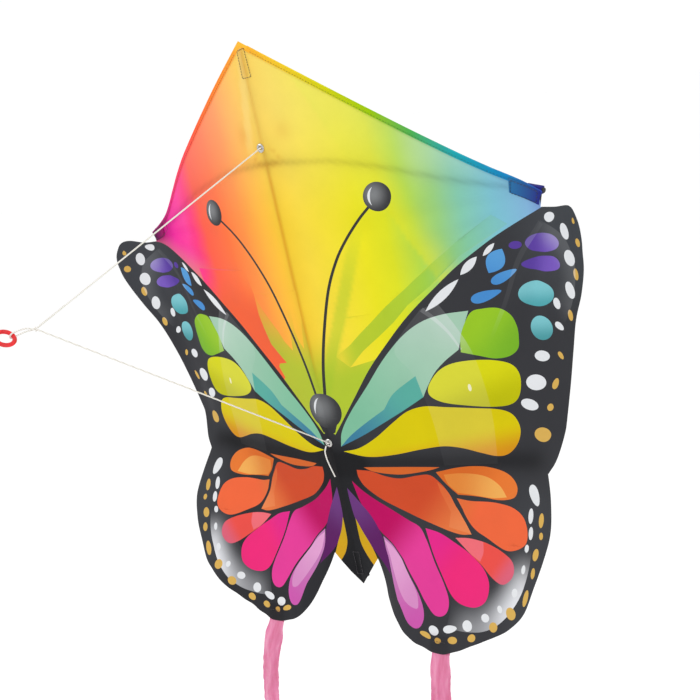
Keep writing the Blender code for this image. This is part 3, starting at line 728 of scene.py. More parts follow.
def butterfly():
    """The print of one wing as (outline, ink, the side it is for or 0), later ones on top."""
    art = []

    def add(outline, ink, only=0):
        art.append((outline, ink, only))

    add([
        (0.034, -0.366), (0.040, -0.351), (0.048, -0.335),
        (0.056, -0.320), (0.100, -0.318), (0.088, -0.328),
        (0.070, -0.341), (0.056, -0.352),
    ], open_sky, 1)
    add([
        (0.049, -0.379), (0.071, -0.360), (0.094, -0.345),
        (0.116, -0.330), (0.137, -0.312), (0.170, -0.300),
        (0.115, -0.360), (0.080, -0.372),
    ], open_sky, 1)
    add([
        (0.034, -0.366), (0.056, -0.352), (0.070, -0.341),
        (0.088, -0.328), (0.111, -0.311), (0.137, -0.294),
        (0.171, -0.270), (0.201, -0.251), (0.245, -0.226),
        (0.260, -0.238), (0.204, -0.265), (0.166, -0.2935),
        (0.137, -0.312), (0.116, -0.330), (0.094, -0.345), (0.071, -0.360), (0.049, -0.379),
    ], streak_ink, 1)
    add([
        (0.190, -0.290), (0.150, -0.320), (0.110, -0.358),
        (0.066, -0.402), (0.058, -0.393), (0.065, -0.380),
        (0.062, -0.376), (0.048, -0.374), (0.059, -0.363),
        (0.070, -0.352), (0.077, -0.333), (0.082, -0.316),
        (0.083, -0.290), (0.090, -0.262), (0.200, -0.262),
    ], flame_ink, -1)
    add([
        (0.083, -0.290), (0.021, -0.290), (0.025, -0.317),
        (0.028, -0.338), (0.031, -0.358), (0.043, -0.347),
        (0.051, -0.334), (0.063, -0.320), (0.073, -0.308),
    ], open_sky, -1)
    add([
        (0.016, -0.285), (0.001, -0.285), (0.002, -0.316),
        (0.006, -0.337), (0.009, -0.355), (0.015, -0.346),
        (0.019, -0.334), (0.018, -0.315),
    ], open_sky, -1)

    wing = catmull([
        (0.301, -0.2243), (0.273, -0.2360), (0.246, -0.2485), (0.224, -0.2605), (0.200, -0.2750),
        (0.174, -0.2935), (0.138, -0.3210), (0.105, -0.3505), (0.071, -0.3845), (0.043, -0.4185),
        (0.0225, -0.4440), (0.0090, -0.4600),
    ], False, EDGE_STEP)
    add(wing + [(0.0, -0.455), (-0.02, -0.455), (-0.02, -0.76), (0.40, -0.76), (0.40, -0.20),
        (0.301, -0.20)], black_ink)

    glow, inner = [], []
    for step in range(27):
        angle = math.radians(2 - 4 * step)
        reach, rise = GLOW_RADIUS * math.cos(angle), GLOW_RADIUS * math.sin(angle)
        glow.append((GLOW_CENTRE[0] + reach, GLOW_CENTRE[1] + rise))
        inner.append((GLOW_CENTRE[0] + 0.6 * reach, GLOW_CENTRE[1] + 0.6 * rise))
    add(glow + inner[::-1], glow_ink)
    add(shape([
        (0.013, -0.475), (0.019, -0.456), (0.037, -0.432), (0.067, -0.400), (0.096, -0.369),
        (0.123, -0.346), (0.148, -0.332), (0.173, -0.326), (0.202, -0.325), (0.193, -0.343),
        (0.183, -0.367), (0.166, -0.378), (0.151, -0.391), (0.139, -0.407), (0.132, -0.418),
        (0.108, -0.431), (0.074, -0.448), (0.045, -0.462),
    ], {0, 8, 10, 14}), faded("A9CFB6", "82C2A0", (0.18, -0.34), (0.03, -0.44)))
    add(shape([
        (0.013, -0.475), (0.030, -0.461), (0.052, -0.447),
        (0.080, -0.431), (0.097, -0.412), (0.128, -0.393),
        (0.132, -0.418), (0.108, -0.431), (0.074, -0.448), (0.045, -0.462),
    ], {0, 3, 5, 6}), faded("5CB0A2", "3F80A0", (0.115, -0.41), (0.03, -0.47)))
    add(shape([
        (0.203, -0.328), (0.218, -0.3245), (0.234, -0.326),
        (0.2455, -0.334), (0.2495, -0.347), (0.249, -0.360),
        (0.246, -0.372), (0.236, -0.379), (0.221, -0.380),
        (0.205, -0.376), (0.185, -0.370), (0.189, -0.350),
    ], {10}), faded("9CCB28", "7CB82A", (0.20, -0.34), (0.235, -0.378)))
    add(shape([
        (0.139, -0.411), (0.144, -0.401), (0.156, -0.389),
        (0.172, -0.382), (0.195, -0.380), (0.220, -0.382),
        (0.236, -0.388), (0.2425, -0.399), (0.242, -0.413),
        (0.237, -0.426), (0.227, -0.433), (0.209, -0.434),
        (0.182, -0.431), (0.156, -0.426), (0.142, -0.419),
    ]), faded("DCDA10", "C4C204", (0.19, -0.395), (0.20, -0.432)))
    add(shape([
        (0.015, -0.481), (0.037, -0.477), (0.061, -0.465),
        (0.089, -0.446), (0.109, -0.434), (0.130, -0.429),
        (0.155, -0.431), (0.185, -0.434), (0.212, -0.437),
        (0.226, -0.443), (0.232, -0.454), (0.232, -0.466),
        (0.226, -0.479), (0.215, -0.489), (0.202, -0.491),
        (0.184, -0.486), (0.165, -0.480), (0.143, -0.477),
        (0.116, -0.480), (0.080, -0.486), (0.046, -0.488),
    ], {0}), faded("DECC04", "DC9418", (0.15, -0.462), (0.155, -0.497)))
    add(shape([
        (0.037, -0.501), (0.085, -0.501), (0.133, -0.502), (0.118, -0.506),
        (0.088, -0.510), (0.064, -0.509), (0.047, -0.506),
    ], {0, 2}), plain(linear("D8682C")))
    add(shape([
        (0.027, -0.504), (0.045, -0.506), (0.062, -0.512),
        (0.081, -0.515), (0.102, -0.512), (0.117, -0.511),
        (0.126, -0.517), (0.138, -0.533), (0.147, -0.551),
        (0.165, -0.577), (0.149, -0.577), (0.119, -0.568),
        (0.090, -0.558), (0.058, -0.545), (0.035, -0.527), (0.0275, -0.514),
    ], {0, 9}), faded("D34E2A", "EA7A42", (0.110, -0.530), (0.153, -0.568)))
    add(shape([
        (0.126, -0.520), (0.138, -0.533), (0.147, -0.551), (0.165, -0.577),
        (0.137, -0.570), (0.139, -0.554), (0.129, -0.533),
    ], {0, 3, 4, 5}), faded("E06A38", "F08A52", (0.129, -0.530), (0.159, -0.576)))
    add(shape([
        (0.127, -0.508), (0.154, -0.503), (0.178, -0.502),
        (0.199, -0.506), (0.214, -0.512), (0.223, -0.521),
        (0.224, -0.530), (0.217, -0.536), (0.192, -0.539), (0.149, -0.535), (0.137, -0.523),
    ], {0, 9}), faded("DD6C28", "EC7C34", (0.16, -0.505), (0.207, -0.534)))
    add(shape([
        (0.136, -0.511), (0.158, -0.510), (0.183, -0.514),
        (0.200, -0.523), (0.211, -0.535), (0.185, -0.538),
        (0.149, -0.533), (0.139, -0.523),
    ], {0, 4, 6}), faded("E88A3C", "F5B25A", (0.144, -0.520), (0.207, -0.532)))
    add(shape([
        (0.147, -0.539), (0.167, -0.543), (0.197, -0.542),
        (0.219, -0.544), (0.234, -0.552), (0.241, -0.566),
        (0.240, -0.577), (0.229, -0.584), (0.213, -0.586),
        (0.191, -0.580), (0.170, -0.572), (0.157, -0.559),
    ], {0}), faded("E8703C", "F46A3E", (0.151, -0.548), (0.174, -0.559)))
    add(shape([
        (0.145, -0.581), (0.163, -0.581), (0.189, -0.584),
        (0.208, -0.588), (0.223, -0.594), (0.228, -0.603),
        (0.225, -0.612), (0.214, -0.619), (0.201, -0.617), (0.182, -0.607), (0.162, -0.595),
    ], {0}), faded("F0524A", "E0647C", (0.201, -0.600), (0.218, -0.614)))
    add(shape([(0.145, -0.581), (0.163, -0.581), (0.181, -0.583), (0.182, -0.594), (0.178, -0.603),
        (0.162, -0.595)], {0, 2, 4}), plain(linear("F4707A")))
    add(shape([
        (0.107, -0.572), (0.127, -0.577), (0.148, -0.588),
        (0.171, -0.601), (0.188, -0.613), (0.194, -0.625),
        (0.190, -0.640), (0.175, -0.649), (0.157, -0.649),
        (0.143, -0.641), (0.131, -0.623), (0.117, -0.598),
    ], {0}), faded("E8288C", "F22A7C", (0.119, -0.586), (0.150, -0.614)))
    add(shape([
        (0.017, -0.518), (0.032, -0.533), (0.057, -0.551),
        (0.083, -0.564), (0.099, -0.571), (0.108, -0.584),
        (0.119, -0.607), (0.132, -0.629), (0.139, -0.645),
        (0.138, -0.657), (0.131, -0.663), (0.120, -0.662),
        (0.108, -0.649), (0.092, -0.629), (0.073, -0.609),
        (0.060, -0.595), (0.041, -0.578), (0.024, -0.550),
    ], {0}), faded("C00860", "E83E9A", (0.060, -0.565), (0.095, -0.600)))
    add(shape([
        (0.046, -0.586), (0.060, -0.597), (0.074, -0.613),
        (0.092, -0.633), (0.104, -0.651), (0.107, -0.666),
        (0.102, -0.677), (0.093, -0.679), (0.084, -0.672),
        (0.073, -0.652), (0.058, -0.627), (0.049, -0.605),
    ], {0}), faded("C880BC", "D05AB0", (0.060, -0.610), (0.094, -0.678)))
    add(shape([
        (0.047, -0.590), (0.060, -0.599), (0.073, -0.612),
        (0.089, -0.630), (0.098, -0.645), (0.099, -0.657),
        (0.092, -0.657), (0.083, -0.651), (0.070, -0.636), (0.056, -0.615),
    ], {0}), faded("E6A4D4", "DC90C8", (0.06, -0.61), (0.09, -0.65)))
    add(shape([
        (0.008, -0.527), (0.019, -0.542), (0.032, -0.561),
        (0.043, -0.583), (0.047, -0.598), (0.056, -0.628),
        (0.036, -0.611), (0.021, -0.593), (0.0105, -0.570), (0.008, -0.546),
    ], {0, 5}), faded("6E3A80", "5E1E62", (0.02, -0.545), (0.04, -0.59)))
    add(shape([
        (0.010, -0.566), (0.017, -0.583), (0.027, -0.601),
        (0.034, -0.616), (0.028, -0.626), (0.017, -0.612),
        (0.011, -0.598), (0.010, -0.584),
    ], {0, 3, 4}), faded("CFA816", "D8A41C", (0.01, -0.57), (0.030, -0.620)))


    violet = faded("5C40A0", "7C5CC0", (0.28, -0.26), (0.31, -0.27))
    add(egg(0.2945, -0.261, 0.021, 0.0100), violet)
    add(egg(0.2885, -0.2830, 0.0230, 0.0105, 178, 0.5), violet)
    add(egg(0.2635, -0.261, 0.0065, 0.0042), violet)
    azure = faded("4A90D4", "5AA0DC", (0.23, -0.30), (0.25, -0.27))
    add(leaf(0.2405, -0.2750, 0.0152, 0.0094, 52), azure)
    add(egg(0.2455, -0.2925, 0.0150, 0.0070, 22, 0.6), azure)
    add(egg(0.2235, -0.3110, 0.0165, 0.0078, 12, 0.6), azure)
    sea = faded("80C8D0", "52A8B0", (0.275, -0.305), (0.275, -0.328))
    add(egg(0.2765, -0.3145, 0.0195, 0.0138), sea)
    add(egg(0.2750, -0.3515, 0.0122, 0.0133), faded("80C8D0", "4E9CA2", (0.275, -0.34), (0.275, -0.364)))

    for spot in (
        (0.309, -0.2345, 0.0075, 0.0055, 20, 0.2), (0.327, -0.2490, 0.0060, 0.0085, 8, 0.0),
        (0.3275, -0.2765, 0.0078, 0.0084, 0, 0.0), (0.3200, -0.3105, 0.0064, 0.0090, 10, 0.0),
        (0.2975, -0.3260, 0.0042, 0.0062, 5, 0.0), (0.2955, -0.3505, 0.0058, 0.0042, -40, 0.2),
        (0.2700, -0.3820, 0.0080, 0.0060, -5, 0.0), (0.2585, -0.4105, 0.0104, 0.0088, 0, 0.0),
        (0.2475, -0.4345, 0.0092, 0.0062, -25, 0.0), (0.247, -0.530, 0.0110, 0.0066, -58, 0.3),
        (0.244, -0.550, 0.0034, 0.0074, 0, 0.0),
        (0.246, -0.566, 0.0032, 0.0062, 0, 0.0), (0.242, -0.581, 0.0030, 0.0040, -20, 0.0),
        (0.240, -0.601, 0.0028, 0.0044, -10, 0.0), (0.231, -0.624, 0.0038, 0.0044, -20, 0.0),
        (0.212, -0.643, 0.0040, 0.0034, -30, 0.0), (0.191, -0.656, 0.0062, 0.0042, 10, 0.0),
        (0.165, -0.669, 0.0068, 0.0056, 0, 0.0), (0.142, -0.675, 0.0092, 0.0046, 12, 0.3),
        (0.120, -0.679, 0.0070, 0.0050, -10, 0.0),
    ):
        add(egg(*spot), plain(WHITE))
    for spot in ((0.2360, -0.2620, 0.0095, 0.0028, 40), (0.2120, -0.2765, 0.0135, 0.0044, 40),
        (0.1775, -0.3050, 0.0265, 0.0048, 36)):
        add(leaf(*spot), plain(WHITE))
    for spot in (
        (0.2550, -0.4695, 0.0086, 0.0082, 0, 0.0), (0.2680, -0.4395, 0.0032, 0.0044, -30, 0.0),
        (0.2785, -0.4135, 0.0068, 0.0034, 60, 0.2), (0.2905, -0.3825, 0.0046, 0.0030, -65, 0.2),
        (0.3140, -0.3375, 0.0036, 0.0060, -5, 0.0), (0.3330, -0.2930, 0.0038, 0.0062, -5, 0.0),
        (0.3460, -0.2590, 0.0040, 0.0044, 0, 0.0), (0.3445, -0.2370, 0.0032, 0.0028, 90, 0.4),
        (0.259, -0.552, 0.0034, 0.0068, 0, 0.0), (0.261, -0.566, 0.0028, 0.0034, 0, 0.0),
        (0.256, -0.584, 0.0040, 0.0060, -20, 0.0), (0.255, -0.601, 0.0030, 0.0052, -10, 0.0),
        (0.247, -0.626, 0.0034, 0.0088, -18, 0.0), (0.228, -0.644, 0.0068, 0.0056, -20, 0.0),
        (0.204, -0.662, 0.0066, 0.0048, 20, 0.0), (0.172, -0.680, 0.0060, 0.0038, 22, 0.0),
        (0.146, -0.686, 0.0062, 0.0038, 5, 0.0), (0.126, -0.689, 0.0044, 0.0036, 0, 0.3),
        (0.109, -0.685, 0.0078, 0.0030, -18, 0.0),
    ):
        add(egg(*spot), plain(GOLD))

    stalk = [
        (0.116, -0.199), (0.0995, -0.2125), (0.0800, -0.2320), (0.0610, -0.2560),
        (0.0430, -0.2880), (0.0260, -0.3340), (0.0140, -0.3750), (0.0070, -0.4110),
    ]
    add(band(stalk, (1.5 * MM, 2.1 * MM)), plain(linear("3C3C3A")))
    add(egg(0.127, -0.190, 0.0165, 0.0160), ball_ink((0.127, -0.190), 0.0165))
    head = [
        (0.0245 * math.cos(a), -0.4305 + 0.0215 * math.sin(a))
        for a in (math.tau * k / 48 for k in range(48))
    ]
    chin = [(-0.001, -0.440), (0.019, -0.440), (0.013, -0.450), (0.0095, -0.4575), (-0.001, -0.462)]
    add(chin, black_ink)
    add(head, ball_ink((0.0, -0.4305), 0.023))
    add(egg(0.187, -0.4105, 0.0020, 0.0042), plain(linear("F6F2C8")))
    add(crescent(0.1275, -0.190, 0.0118, 112, 228, 3.0 * MM), plain(WHITE), 1)
    add(crescent(0.1265, -0.190, 0.0118, 68, -48, 3.0 * MM), plain(WHITE), -1)
    add(crescent(0.0, -0.4305, 0.0165, 75, -20, 3.4 * MM), plain(WHITE), -1)
    return art


HEM_WIDTH = 6.0 * MM
HEM_SLANT = (-0.56, -0.83)


def hem_band():
    edge = catmull(LEADING_EDGE, False, 3 * MM)
    inner = [(x + HEM_SLANT[0] * HEM_WIDTH, z + HEM_SLANT[1] * HEM_WIDTH) for x, z in edge]
    inner[0] = (0.0, -1.2 * HEM_WIDTH)
    outer = [(x + 0.02, z + 0.03) for x, z in edge]
    outer[0] = (0.0, 0.02)
    return outer + inner[::-1]


def broad_shine(x, z):
    top = smooth(-0.385, -0.325, z)
    return 0.045 + 0.12 * top + 0.22 * top * smooth(0.150, 0.190, x)


def rim_shine(x, z):
    across, up = x - 0.279, z + 0.292
    turn = math.degrees(math.atan2(up, across))
    ends = smooth(-74, -40, turn) * smooth(84, 50, turn)
    return 0.28 * ends * smooth(0.45, 1.0, math.hypot(across, up) / 0.054)


def line_shine(x, z):
    return 0.36


def faint_shine(x, z):
    return 0.09 * smooth(-0.364, -0.30, z)


# Pale glassy reflections of the print, laid over the inks: outline and strength
SHINES = [
    (shape([(0.150, -0.318), (0.170, -0.312), (0.185, -0.340), (0.198, -0.374), (0.2045, -0.412),
        (0.2055, -0.452),
            (0.201, -0.500), (0.139, -0.500), (0.138, -0.458), (0.134, -0.424), (0.125, -0.390), (0.110,
                -0.360)], {0, 1, 6, 7}), broad_shine),
    (band([(0.152, -0.318), (0.164, -0.330), (0.176, -0.346), (0.186, -0.367)], (2.8 * MM, 1.0 * MM)),
        line_shine),
    (band([(0.296, -0.240), (0.264, -0.276), (0.240, -0.324), (0.217, -0.364)], (3.0 * MM, 2.0 * MM)),
        faint_shine),
    (shape([(0.296, -0.238), (0.321, -0.252), (0.330, -0.265), (0.3335, -0.284), (0.328, -0.306),
        (0.318, -0.327),
            (0.304, -0.346), (0.285, -0.336), (0.272, -0.305), (0.276, -0.265)], {0, 6}), rim_shine),
]


# ---------------------------------------------------------------- meshes

def link(name, data):
    piece = bpy.data.objects.new(name, data)
    bpy.context.scene.collection.objects.link(piece)
    return piece


INK_STRENGTH = 0.84


def add_metres(mesh, places):
    """The UV map in metres that the weave and grain follow: one (u, v) for each vertex."""
    layer = mesh.uv_layers.new(name="metres")
    for loop in mesh.loops:
        layer.data[loop.index].uv = places[loop.vertex_index]


def leftward(outline):
    """The outline, going round so that its inside lies to the left."""
    turns = zip(outline, outline[1:] + outline[:1])
    area = sum(a[0] * b[1] - a[1] * b[0] for a, b in turns)
    return outline if area > 0 else outline[::-1]


def make_sail(name, side, look):
    """Half of the printed sail, from the spine out: inks on its faces, form from its places."""
    outline = cloth_outline()
    art = [item for item in butterfly() if item[2] in (0, side)]
    art.append((hem_band(), hem_ink, 0))
    regions = [outline] + [item[0] for item in art] + [item[0] for item in SHINES]
    inks = [sky_ink] + [item[1] for item in art]
    points, faces = [], []
    for region in regions:
        first = len(points)
        points += [Vector(place) for place in leftward(region)]
        faces.append(list(range(first, len(points))))
    columns, rows = round(0.36 / PRINT_GRID), round(0.71 / PRINT_GRID)
    for column in range(1, columns):
        for row in range(rows):
            slide = 0.5 * (column % 2)
            points.append(Vector((column * PRINT_GRID, -(row + slide) * PRINT_GRID)))
    verts, _, tris, _, _, owners = delaunay_2d_cdt(points, [], faces, 0, 1e-5)
    kept = [(tri, own) for tri, own in zip(tris, owners) if 0 in own]
    used = sorted({i for tri, _ in kept for i in tri})
    renumbered = {old: new for new, old in enumerate(used)}
    flat = [(side * verts[i].x, verts[i].y) for i in used]
    order = (lambda t: t) if side > 0 else (lambda t: t[::-1])
    triangles = [order([renumbered[i] for i in tri]) for tri, _ in kept]
    mesh = bpy.data.meshes.new(name)
    mesh.from_pydata([sagged(NOSE + on_sail(x, z), side) for x, z in flat], [], triangles)
    mesh.shade_smooth()
    add_metres(mesh, flat)
    layer = mesh.color_attributes.new("ink", "FLOAT_COLOR", "CORNER")
    for polygon, (_, own) in zip(mesh.polygons, kept):
        top = max(i for i in own if i < len(inks))
        shines = [SHINES[i - len(inks)][1] for i in own if i >= len(inks)]
        for loop in polygon.loop_indices:
            x, z = flat[mesh.loops[loop].vertex_index]
            ink = inks[top](side, abs(x), z)
            veil = 0.25 if inks[top] is black_ink else 1.0
            for shine in shines:
                ink = mix(ink, WHITE, veil * shine(abs(x), z))
            layer.data[loop].color = (*(INK_STRENGTH * part for part in ink), 1)
    mesh.materials.append(look)
    return link(name, mesh)


def lathe(name, profile, base, axis, look, segments=40):
    """A (radius, height) profile turned about an axis, closed at its ends where radius is 0."""
    turn = Vector((0, 0, 1)).rotation_difference(Vector(axis)).to_matrix()
    verts, places, faces = [], [], []
    run = 0.0
    for i, (radius, height) in enumerate(profile):
        run += math.dist(profile[i - 1], profile[i]) if i else 0.0
        for k in range(segments):
            a = math.tau * k / segments
            verts.append(turn @ Vector((radius * math.cos(a), radius * math.sin(a), height)) + Vector(base))
            places.append((a * radius, run))
    for i in range(len(profile) - 1):
        for k in range(segments):
            m = (k + 1) % segments
            faces.append((i * segments + k, i * segments + m, (i + 1) * segments + m,
                (i + 1) * segments + k))
    mesh = bpy.data.meshes.new(name)
    mesh.from_pydata(verts, [], faces)
    mesh.shade_smooth()
    mesh.set_sharp_from_angle(angle=math.radians(38))
    add_metres(mesh, places)
    mesh.materials.append(look)
    return link(name, mesh)


def sweep(name, path, radius, look, segments=16, capped=True):
    """A round bar along a path of points, with chamfered ends."""
    tangents = []
    for i in range(len(path)):
        tangents.append((path[min(i + 1, len(path) - 1)] - path[max(i - 1, 0)]).normalized())
    stations = [(path[i], tangents[i], radius) for i in range(len(path))]
    if capped:
        chamfer = 0.25 * radius
        first, last = stations[0], stations[-1]
        stations[0] = (first[0] + first[1] * chamfer, first[1], radius)
        stations[-1] = (last[0] - last[1] * chamfer, last[1], radius)
        stations.insert(0, (first[0], first[1], radius - chamfer))
        stations.insert(0, (first[0], first[1], 0.01 * MM))
        stations.append((last[0], last[1], radius - chamfer))
        stations.append((last[0], last[1], 0.01 * MM))
    verts, places, faces = [], [], []
    side = tangents[0].cross(Vector((0.0, 1.0, 0.3))).normalized()
    run = 0.0
    for i, (centre, along, size) in enumerate(stations):
        run += (centre - stations[i - 1][0]).length if i else 0.0
        side = (side - along * side.dot(along)).normalized()
        other = along.cross(side)
        for k in range(segments):
            a = math.tau * k / segments
            verts.append(centre + (side * math.cos(a) + other * math.sin(a)) * size)
            places.append((a * size, run))
    for i in range(len(stations) - 1):
        for k in range(segments):
            m = (k + 1) % segments
            faces.append((i * segments + k, i * segments + m, (i + 1) * segments + m,
                (i + 1) * segments + k))
    mesh = bpy.data.meshes.new(name)
    mesh.from_pydata(verts, [], faces)
    mesh.shade_smooth()
    mesh.set_sharp_from_angle(angle=math.radians(38))
    add_metres(mesh, places)
    mesh.materials.append(look)
    return link(name, mesh)


def cord_curve(name, points, look, radius=CORD / 2, smooth_path=True):
    curve = bpy.data.curves.new(name, "CURVE")
    curve.dimensions = "3D"
    curve.bevel_depth = radius
    curve.bevel_resolution = 4
    curve.use_fill_caps = True
    path = through(points, 4) if smooth_path else points
    spline = curve.splines.new("POLY")
    spline.points.add(len(path) - 1)
    for target, point in zip(spline.points, path):
        target.co = (*(NOSE + Vector(point)), 1.0)
    curve.materials.append(look)
    return link(name, curve)


def through(points, steps):
    """A smooth path through points in space, with this many steps between each two."""
    knots = [Vector(point) for point in points]
    knots = [2 * knots[0] - knots[1], *knots, 2 * knots[-1] - knots[-2]]
    path = []
    for before, start, end, after in zip(knots, knots[1:], knots[2:], knots[3:]):
        for step in range(steps):
            t = step / steps
            pull = (end - before) * t + (2 * before - 5 * start + 4 * end - after) * t**2
            path.append(start + (pull + (3 * start - before - 3 * end + after) * t**3) / 2)
    path.append(knots[-2])
    return path


# ---------------------------------------------------------------- cords and ring

BRIDLE_END_ROUTE = [
    (-0.0060, -0.0030, -0.4735), (-0.0082, -0.0044, -0.4800), (-0.0082, -0.0044, -0.4880),
    (-0.0060, -0.0042, -0.4980), (-0.0015, -0.0042, -0.5115),
]
KNOT_END_ROUTE = [
    (0.0024, -0.3460, -0.2115), (0.0030, -0.3360, -0.2085),
    (0.0028, -0.3240, -0.2055), (0.0030, -0.3130, -0.2020),
]


def make_bridle(looks):
    knot_line = []
    for k in range(49):
        a = math.tau * k / 48
        offset = Vector((math.sin(a) + 2 * math.sin(2 * a), 1.3 * math.sin(3 * a),
            math.cos(a) - 2 * math.cos(2 * a)))
        knot_line.append(KNOT + offset * 0.62 * MM)
    knot = cord_curve("bridle_knot_wraps", knot_line, looks["cord"], 0.75 * MM, False)
    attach(knot, "bridle")
    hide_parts("bridle_knot")
    for name, height in EYELET_HEIGHTS.items():
        start = Vector((EYELET_ASIDE, 0.0, height))
        way = KNOT - start
        first = start + way * (2.6 * MM / -way.y)
        last = KNOT - way.normalized() * (KNOT_RADIUS - 1.0 * MM)
        path = [NOSE + first.lerp(last, step / 90) for step in range(91)]
        leg = sweep(f"bridle_leg_{name}", path, CORD / 2, looks["cord"], 12)
        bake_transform(leg)
        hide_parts(f"bridle_{name}_leg")
    end = cord_curve("cord_end_knot", KNOT_END_ROUTE, looks["cord"])
    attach(end, "bridle")
    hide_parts("bridle_knot_end")
    wrap = RING_THICKNESS + 0.3 * MM + CORD / 2
    begin = KNOT.y - KNOT_RADIUS + 0.8 * MM
    across = Vector((math.cos(RING_TILT), 0.0, math.sin(RING_TILT)))
    middle = Vector((0.0, RING_BAND, -NOSE.z))
    half = [Vector((1.1 * MM, begin, KNOT.z)), Vector((0.0, begin - 10 * MM, -NOSE.z)) + across * 2.3 * MM]
    other = [Vector((-1.1 * MM, begin, KNOT.z)), Vector((0.0, begin - 10 * MM,
        -NOSE.z)) - across * 2.3 * MM]
    turn = [math.radians(angle) for angle in range(0, -181, -30)]
    front = [middle + across * wrap * math.cos(a) + Vector((0, wrap * math.sin(a), 0)) for a in turn]
    route = [*half, *front, *other[::-1]]
    path = [NOSE + point for point in through(route, 6)]
    loop = sweep("tow_loop_cord", path, CORD / 2, looks["cord"], 12)
    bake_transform(loop)
    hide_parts("tow_loop")


def make_cord_end(looks):
    end = cord_curve("cord_end_lower", BRIDLE_END_ROUTE, looks["cord"])
    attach(end, "frame")
    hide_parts("bridle_end")


def make_ties(looks):
    strand, front = 0.95 * MM, -1.4 * MM
    wrap = SPINE_RADIUS + 0.3 * MM + CORD / 2
    arc = [math.radians(angle) for angle in range(-60, 241, 30)]
    around = [(wrap * math.cos(a), SPINE_DEPTH + wrap * math.sin(a)) for a in arc]
    right, left = EYELET_ASIDE + strand, EYELET_ASIDE - strand
    flat = [(right, front), (right, 0.6 * MM), *around, (left, 0.6 * MM), (left, front)]
    for name, height in EYELET_HEIGHTS.items():
        tie = cord_curve(f"spine_tie_{name}", [(x, y, height) for x, y in flat], looks["cord"])
        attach(tie, "frame")
        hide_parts(f"bridle_tie_{name}")


def make_ring(looks):
    """The tow ring: a moulded torus with a fine parting line."""
    verts, places, faces = [], [], []
    around, across = 72, 20
    for i in range(around):
        a = math.tau * i / around
        for k in range(across):
            b = math.tau * k / across
            size = RING_THICKNESS * (1.0 + (0.04 if k == 0 else 0.0))
            r = RING_MIDDLE + size * math.cos(b)
            point = Vector((size * math.sin(b), r * math.cos(a) - RING_MIDDLE, r * math.sin(a)))
            verts.append(NOSE + Vector((0.0, RING_BAND, -NOSE.z)) + Matrix.Rotation(-RING_TILT, 3,
                "Y") @ point)
            places.append((a * RING_MIDDLE, b * RING_THICKNESS))
    for i in range(around):
        for k in range(across):
            j, m = (i + 1) % around, (k + 1) % across
            faces.append((i * across + k, j * across + k, j * across + m, i * across + m))
    mesh = bpy.data.meshes.new("tow_ring_moulded")
    mesh.from_pydata(verts, [], faces)
    mesh.shade_smooth()
    add_metres(mesh, places)
    mesh.materials.append(looks["ring"])
    ring = link("tow_ring_moulded", mesh)
    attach(ring, "ring")
    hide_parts("tow_ring")


# ---------------------------------------------------------------- sticks and fittings

def cap_profile(inner, depth=11.0 * MM, wall=0.8 * MM):
    outer, soft = inner + wall, 0.5 * MM
    top = depth + wall
    rim = [(inner, 0.0), (inner + 0.2 * MM, -0.1 * MM), (outer - 0.2 * MM, -0.1 * MM), (outer, 0.1 * MM)]
    body = [(outer, 1.6 * MM), (outer - 0.25 * MM, 1.9 * MM), (outer - 0.25 * MM, top - soft)]
    dome = [
        (outer - 0.25 * MM - soft * 0.3, top - 0.3 * soft), (outer - 0.25 * MM - soft, top),
        (0.0, top),
    ]
    return [(0.0, depth), (inner, depth), *rim, *body, *dome]


def make_spine(looks):
    top = NOSE + Vector((0.0, SPINE_DEPTH, SPINE_TOP))
    bottom = NOSE + Vector((0.0, SPINE_DEPTH, SPINE_END))
    path = [bottom.lerp(top, k / 24) for k in range(25)]
    rod = sweep("spine_rod", path, SPINE_RADIUS, looks["rod"], 24)
    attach(rod, "frame")
    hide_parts("spine")
    for name, base, axis in (("nose", top, (0, 0, 1)), ("tail", bottom, (0, 0, -1))):
        start = base - Vector(axis) * 10.7 * MM
        cap = lathe(f"spine_cap_{name}", cap_profile(SPINE_RADIUS + 0.3 * MM), start, axis, looks["cap"])
        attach(cap, "frame")
        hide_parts(f"spine_{name}_cap")


def make_hub(looks):
    """The moulded cross: a waisted, ribbed barrel on the spine and a stub to each side."""
    middle = NOSE + Vector((0.0, SPINE_DEPTH, HUB_HEIGHT))
    bore = SPINE_RADIUS + 0.25 * MM
    heights = [-11.0, -10.6, -8.6, -8.3, -5.0, -4.6, 4.6, 5.0, 8.3, 8.6, 10.6, 11.0]
    radii = [3.9, 4.3, 4.3, 3.7, 3.7, 4.3, 4.3, 3.7, 3.7, 4.3, 4.3, 3.9]
    outside = [(r * MM, h * MM) for r, h in zip(radii, heights)]
    profile = [(bore, -11.0 * MM), *outside, (bore, 11.0 * MM), (bore, -11.0 * MM)]
    hub = lathe("hub_barrel", profile, middle, (0, 0, 1), looks["fitting"], 48)
    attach(hub, "frame")
    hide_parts("spreader_hub")
    for name, side in (("left", -1), ("right", 1)):
        ribs = [(0.0, 2.6)] + [(1.7 if k % 2 else 1.5, 4.4 + 0.9 * k) for k in range(9)] + [(1.2, 12.5),
            (0.0, 12.5)]
        profile = [(r * MM, h * MM) for r, h in ribs]
        stub = lathe(f"hub_stub_{name}", profile, middle, (side, 0, 0), looks["fitting"], 28)
        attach(stub, "frame")


SPREADER_ROUTE = [
    (0.020, -0.1368), (0.082, -0.1443), (0.138, -0.1590),
    (0.201, -0.1800), (0.260, -0.1985), (0.3035, -0.2085),
]


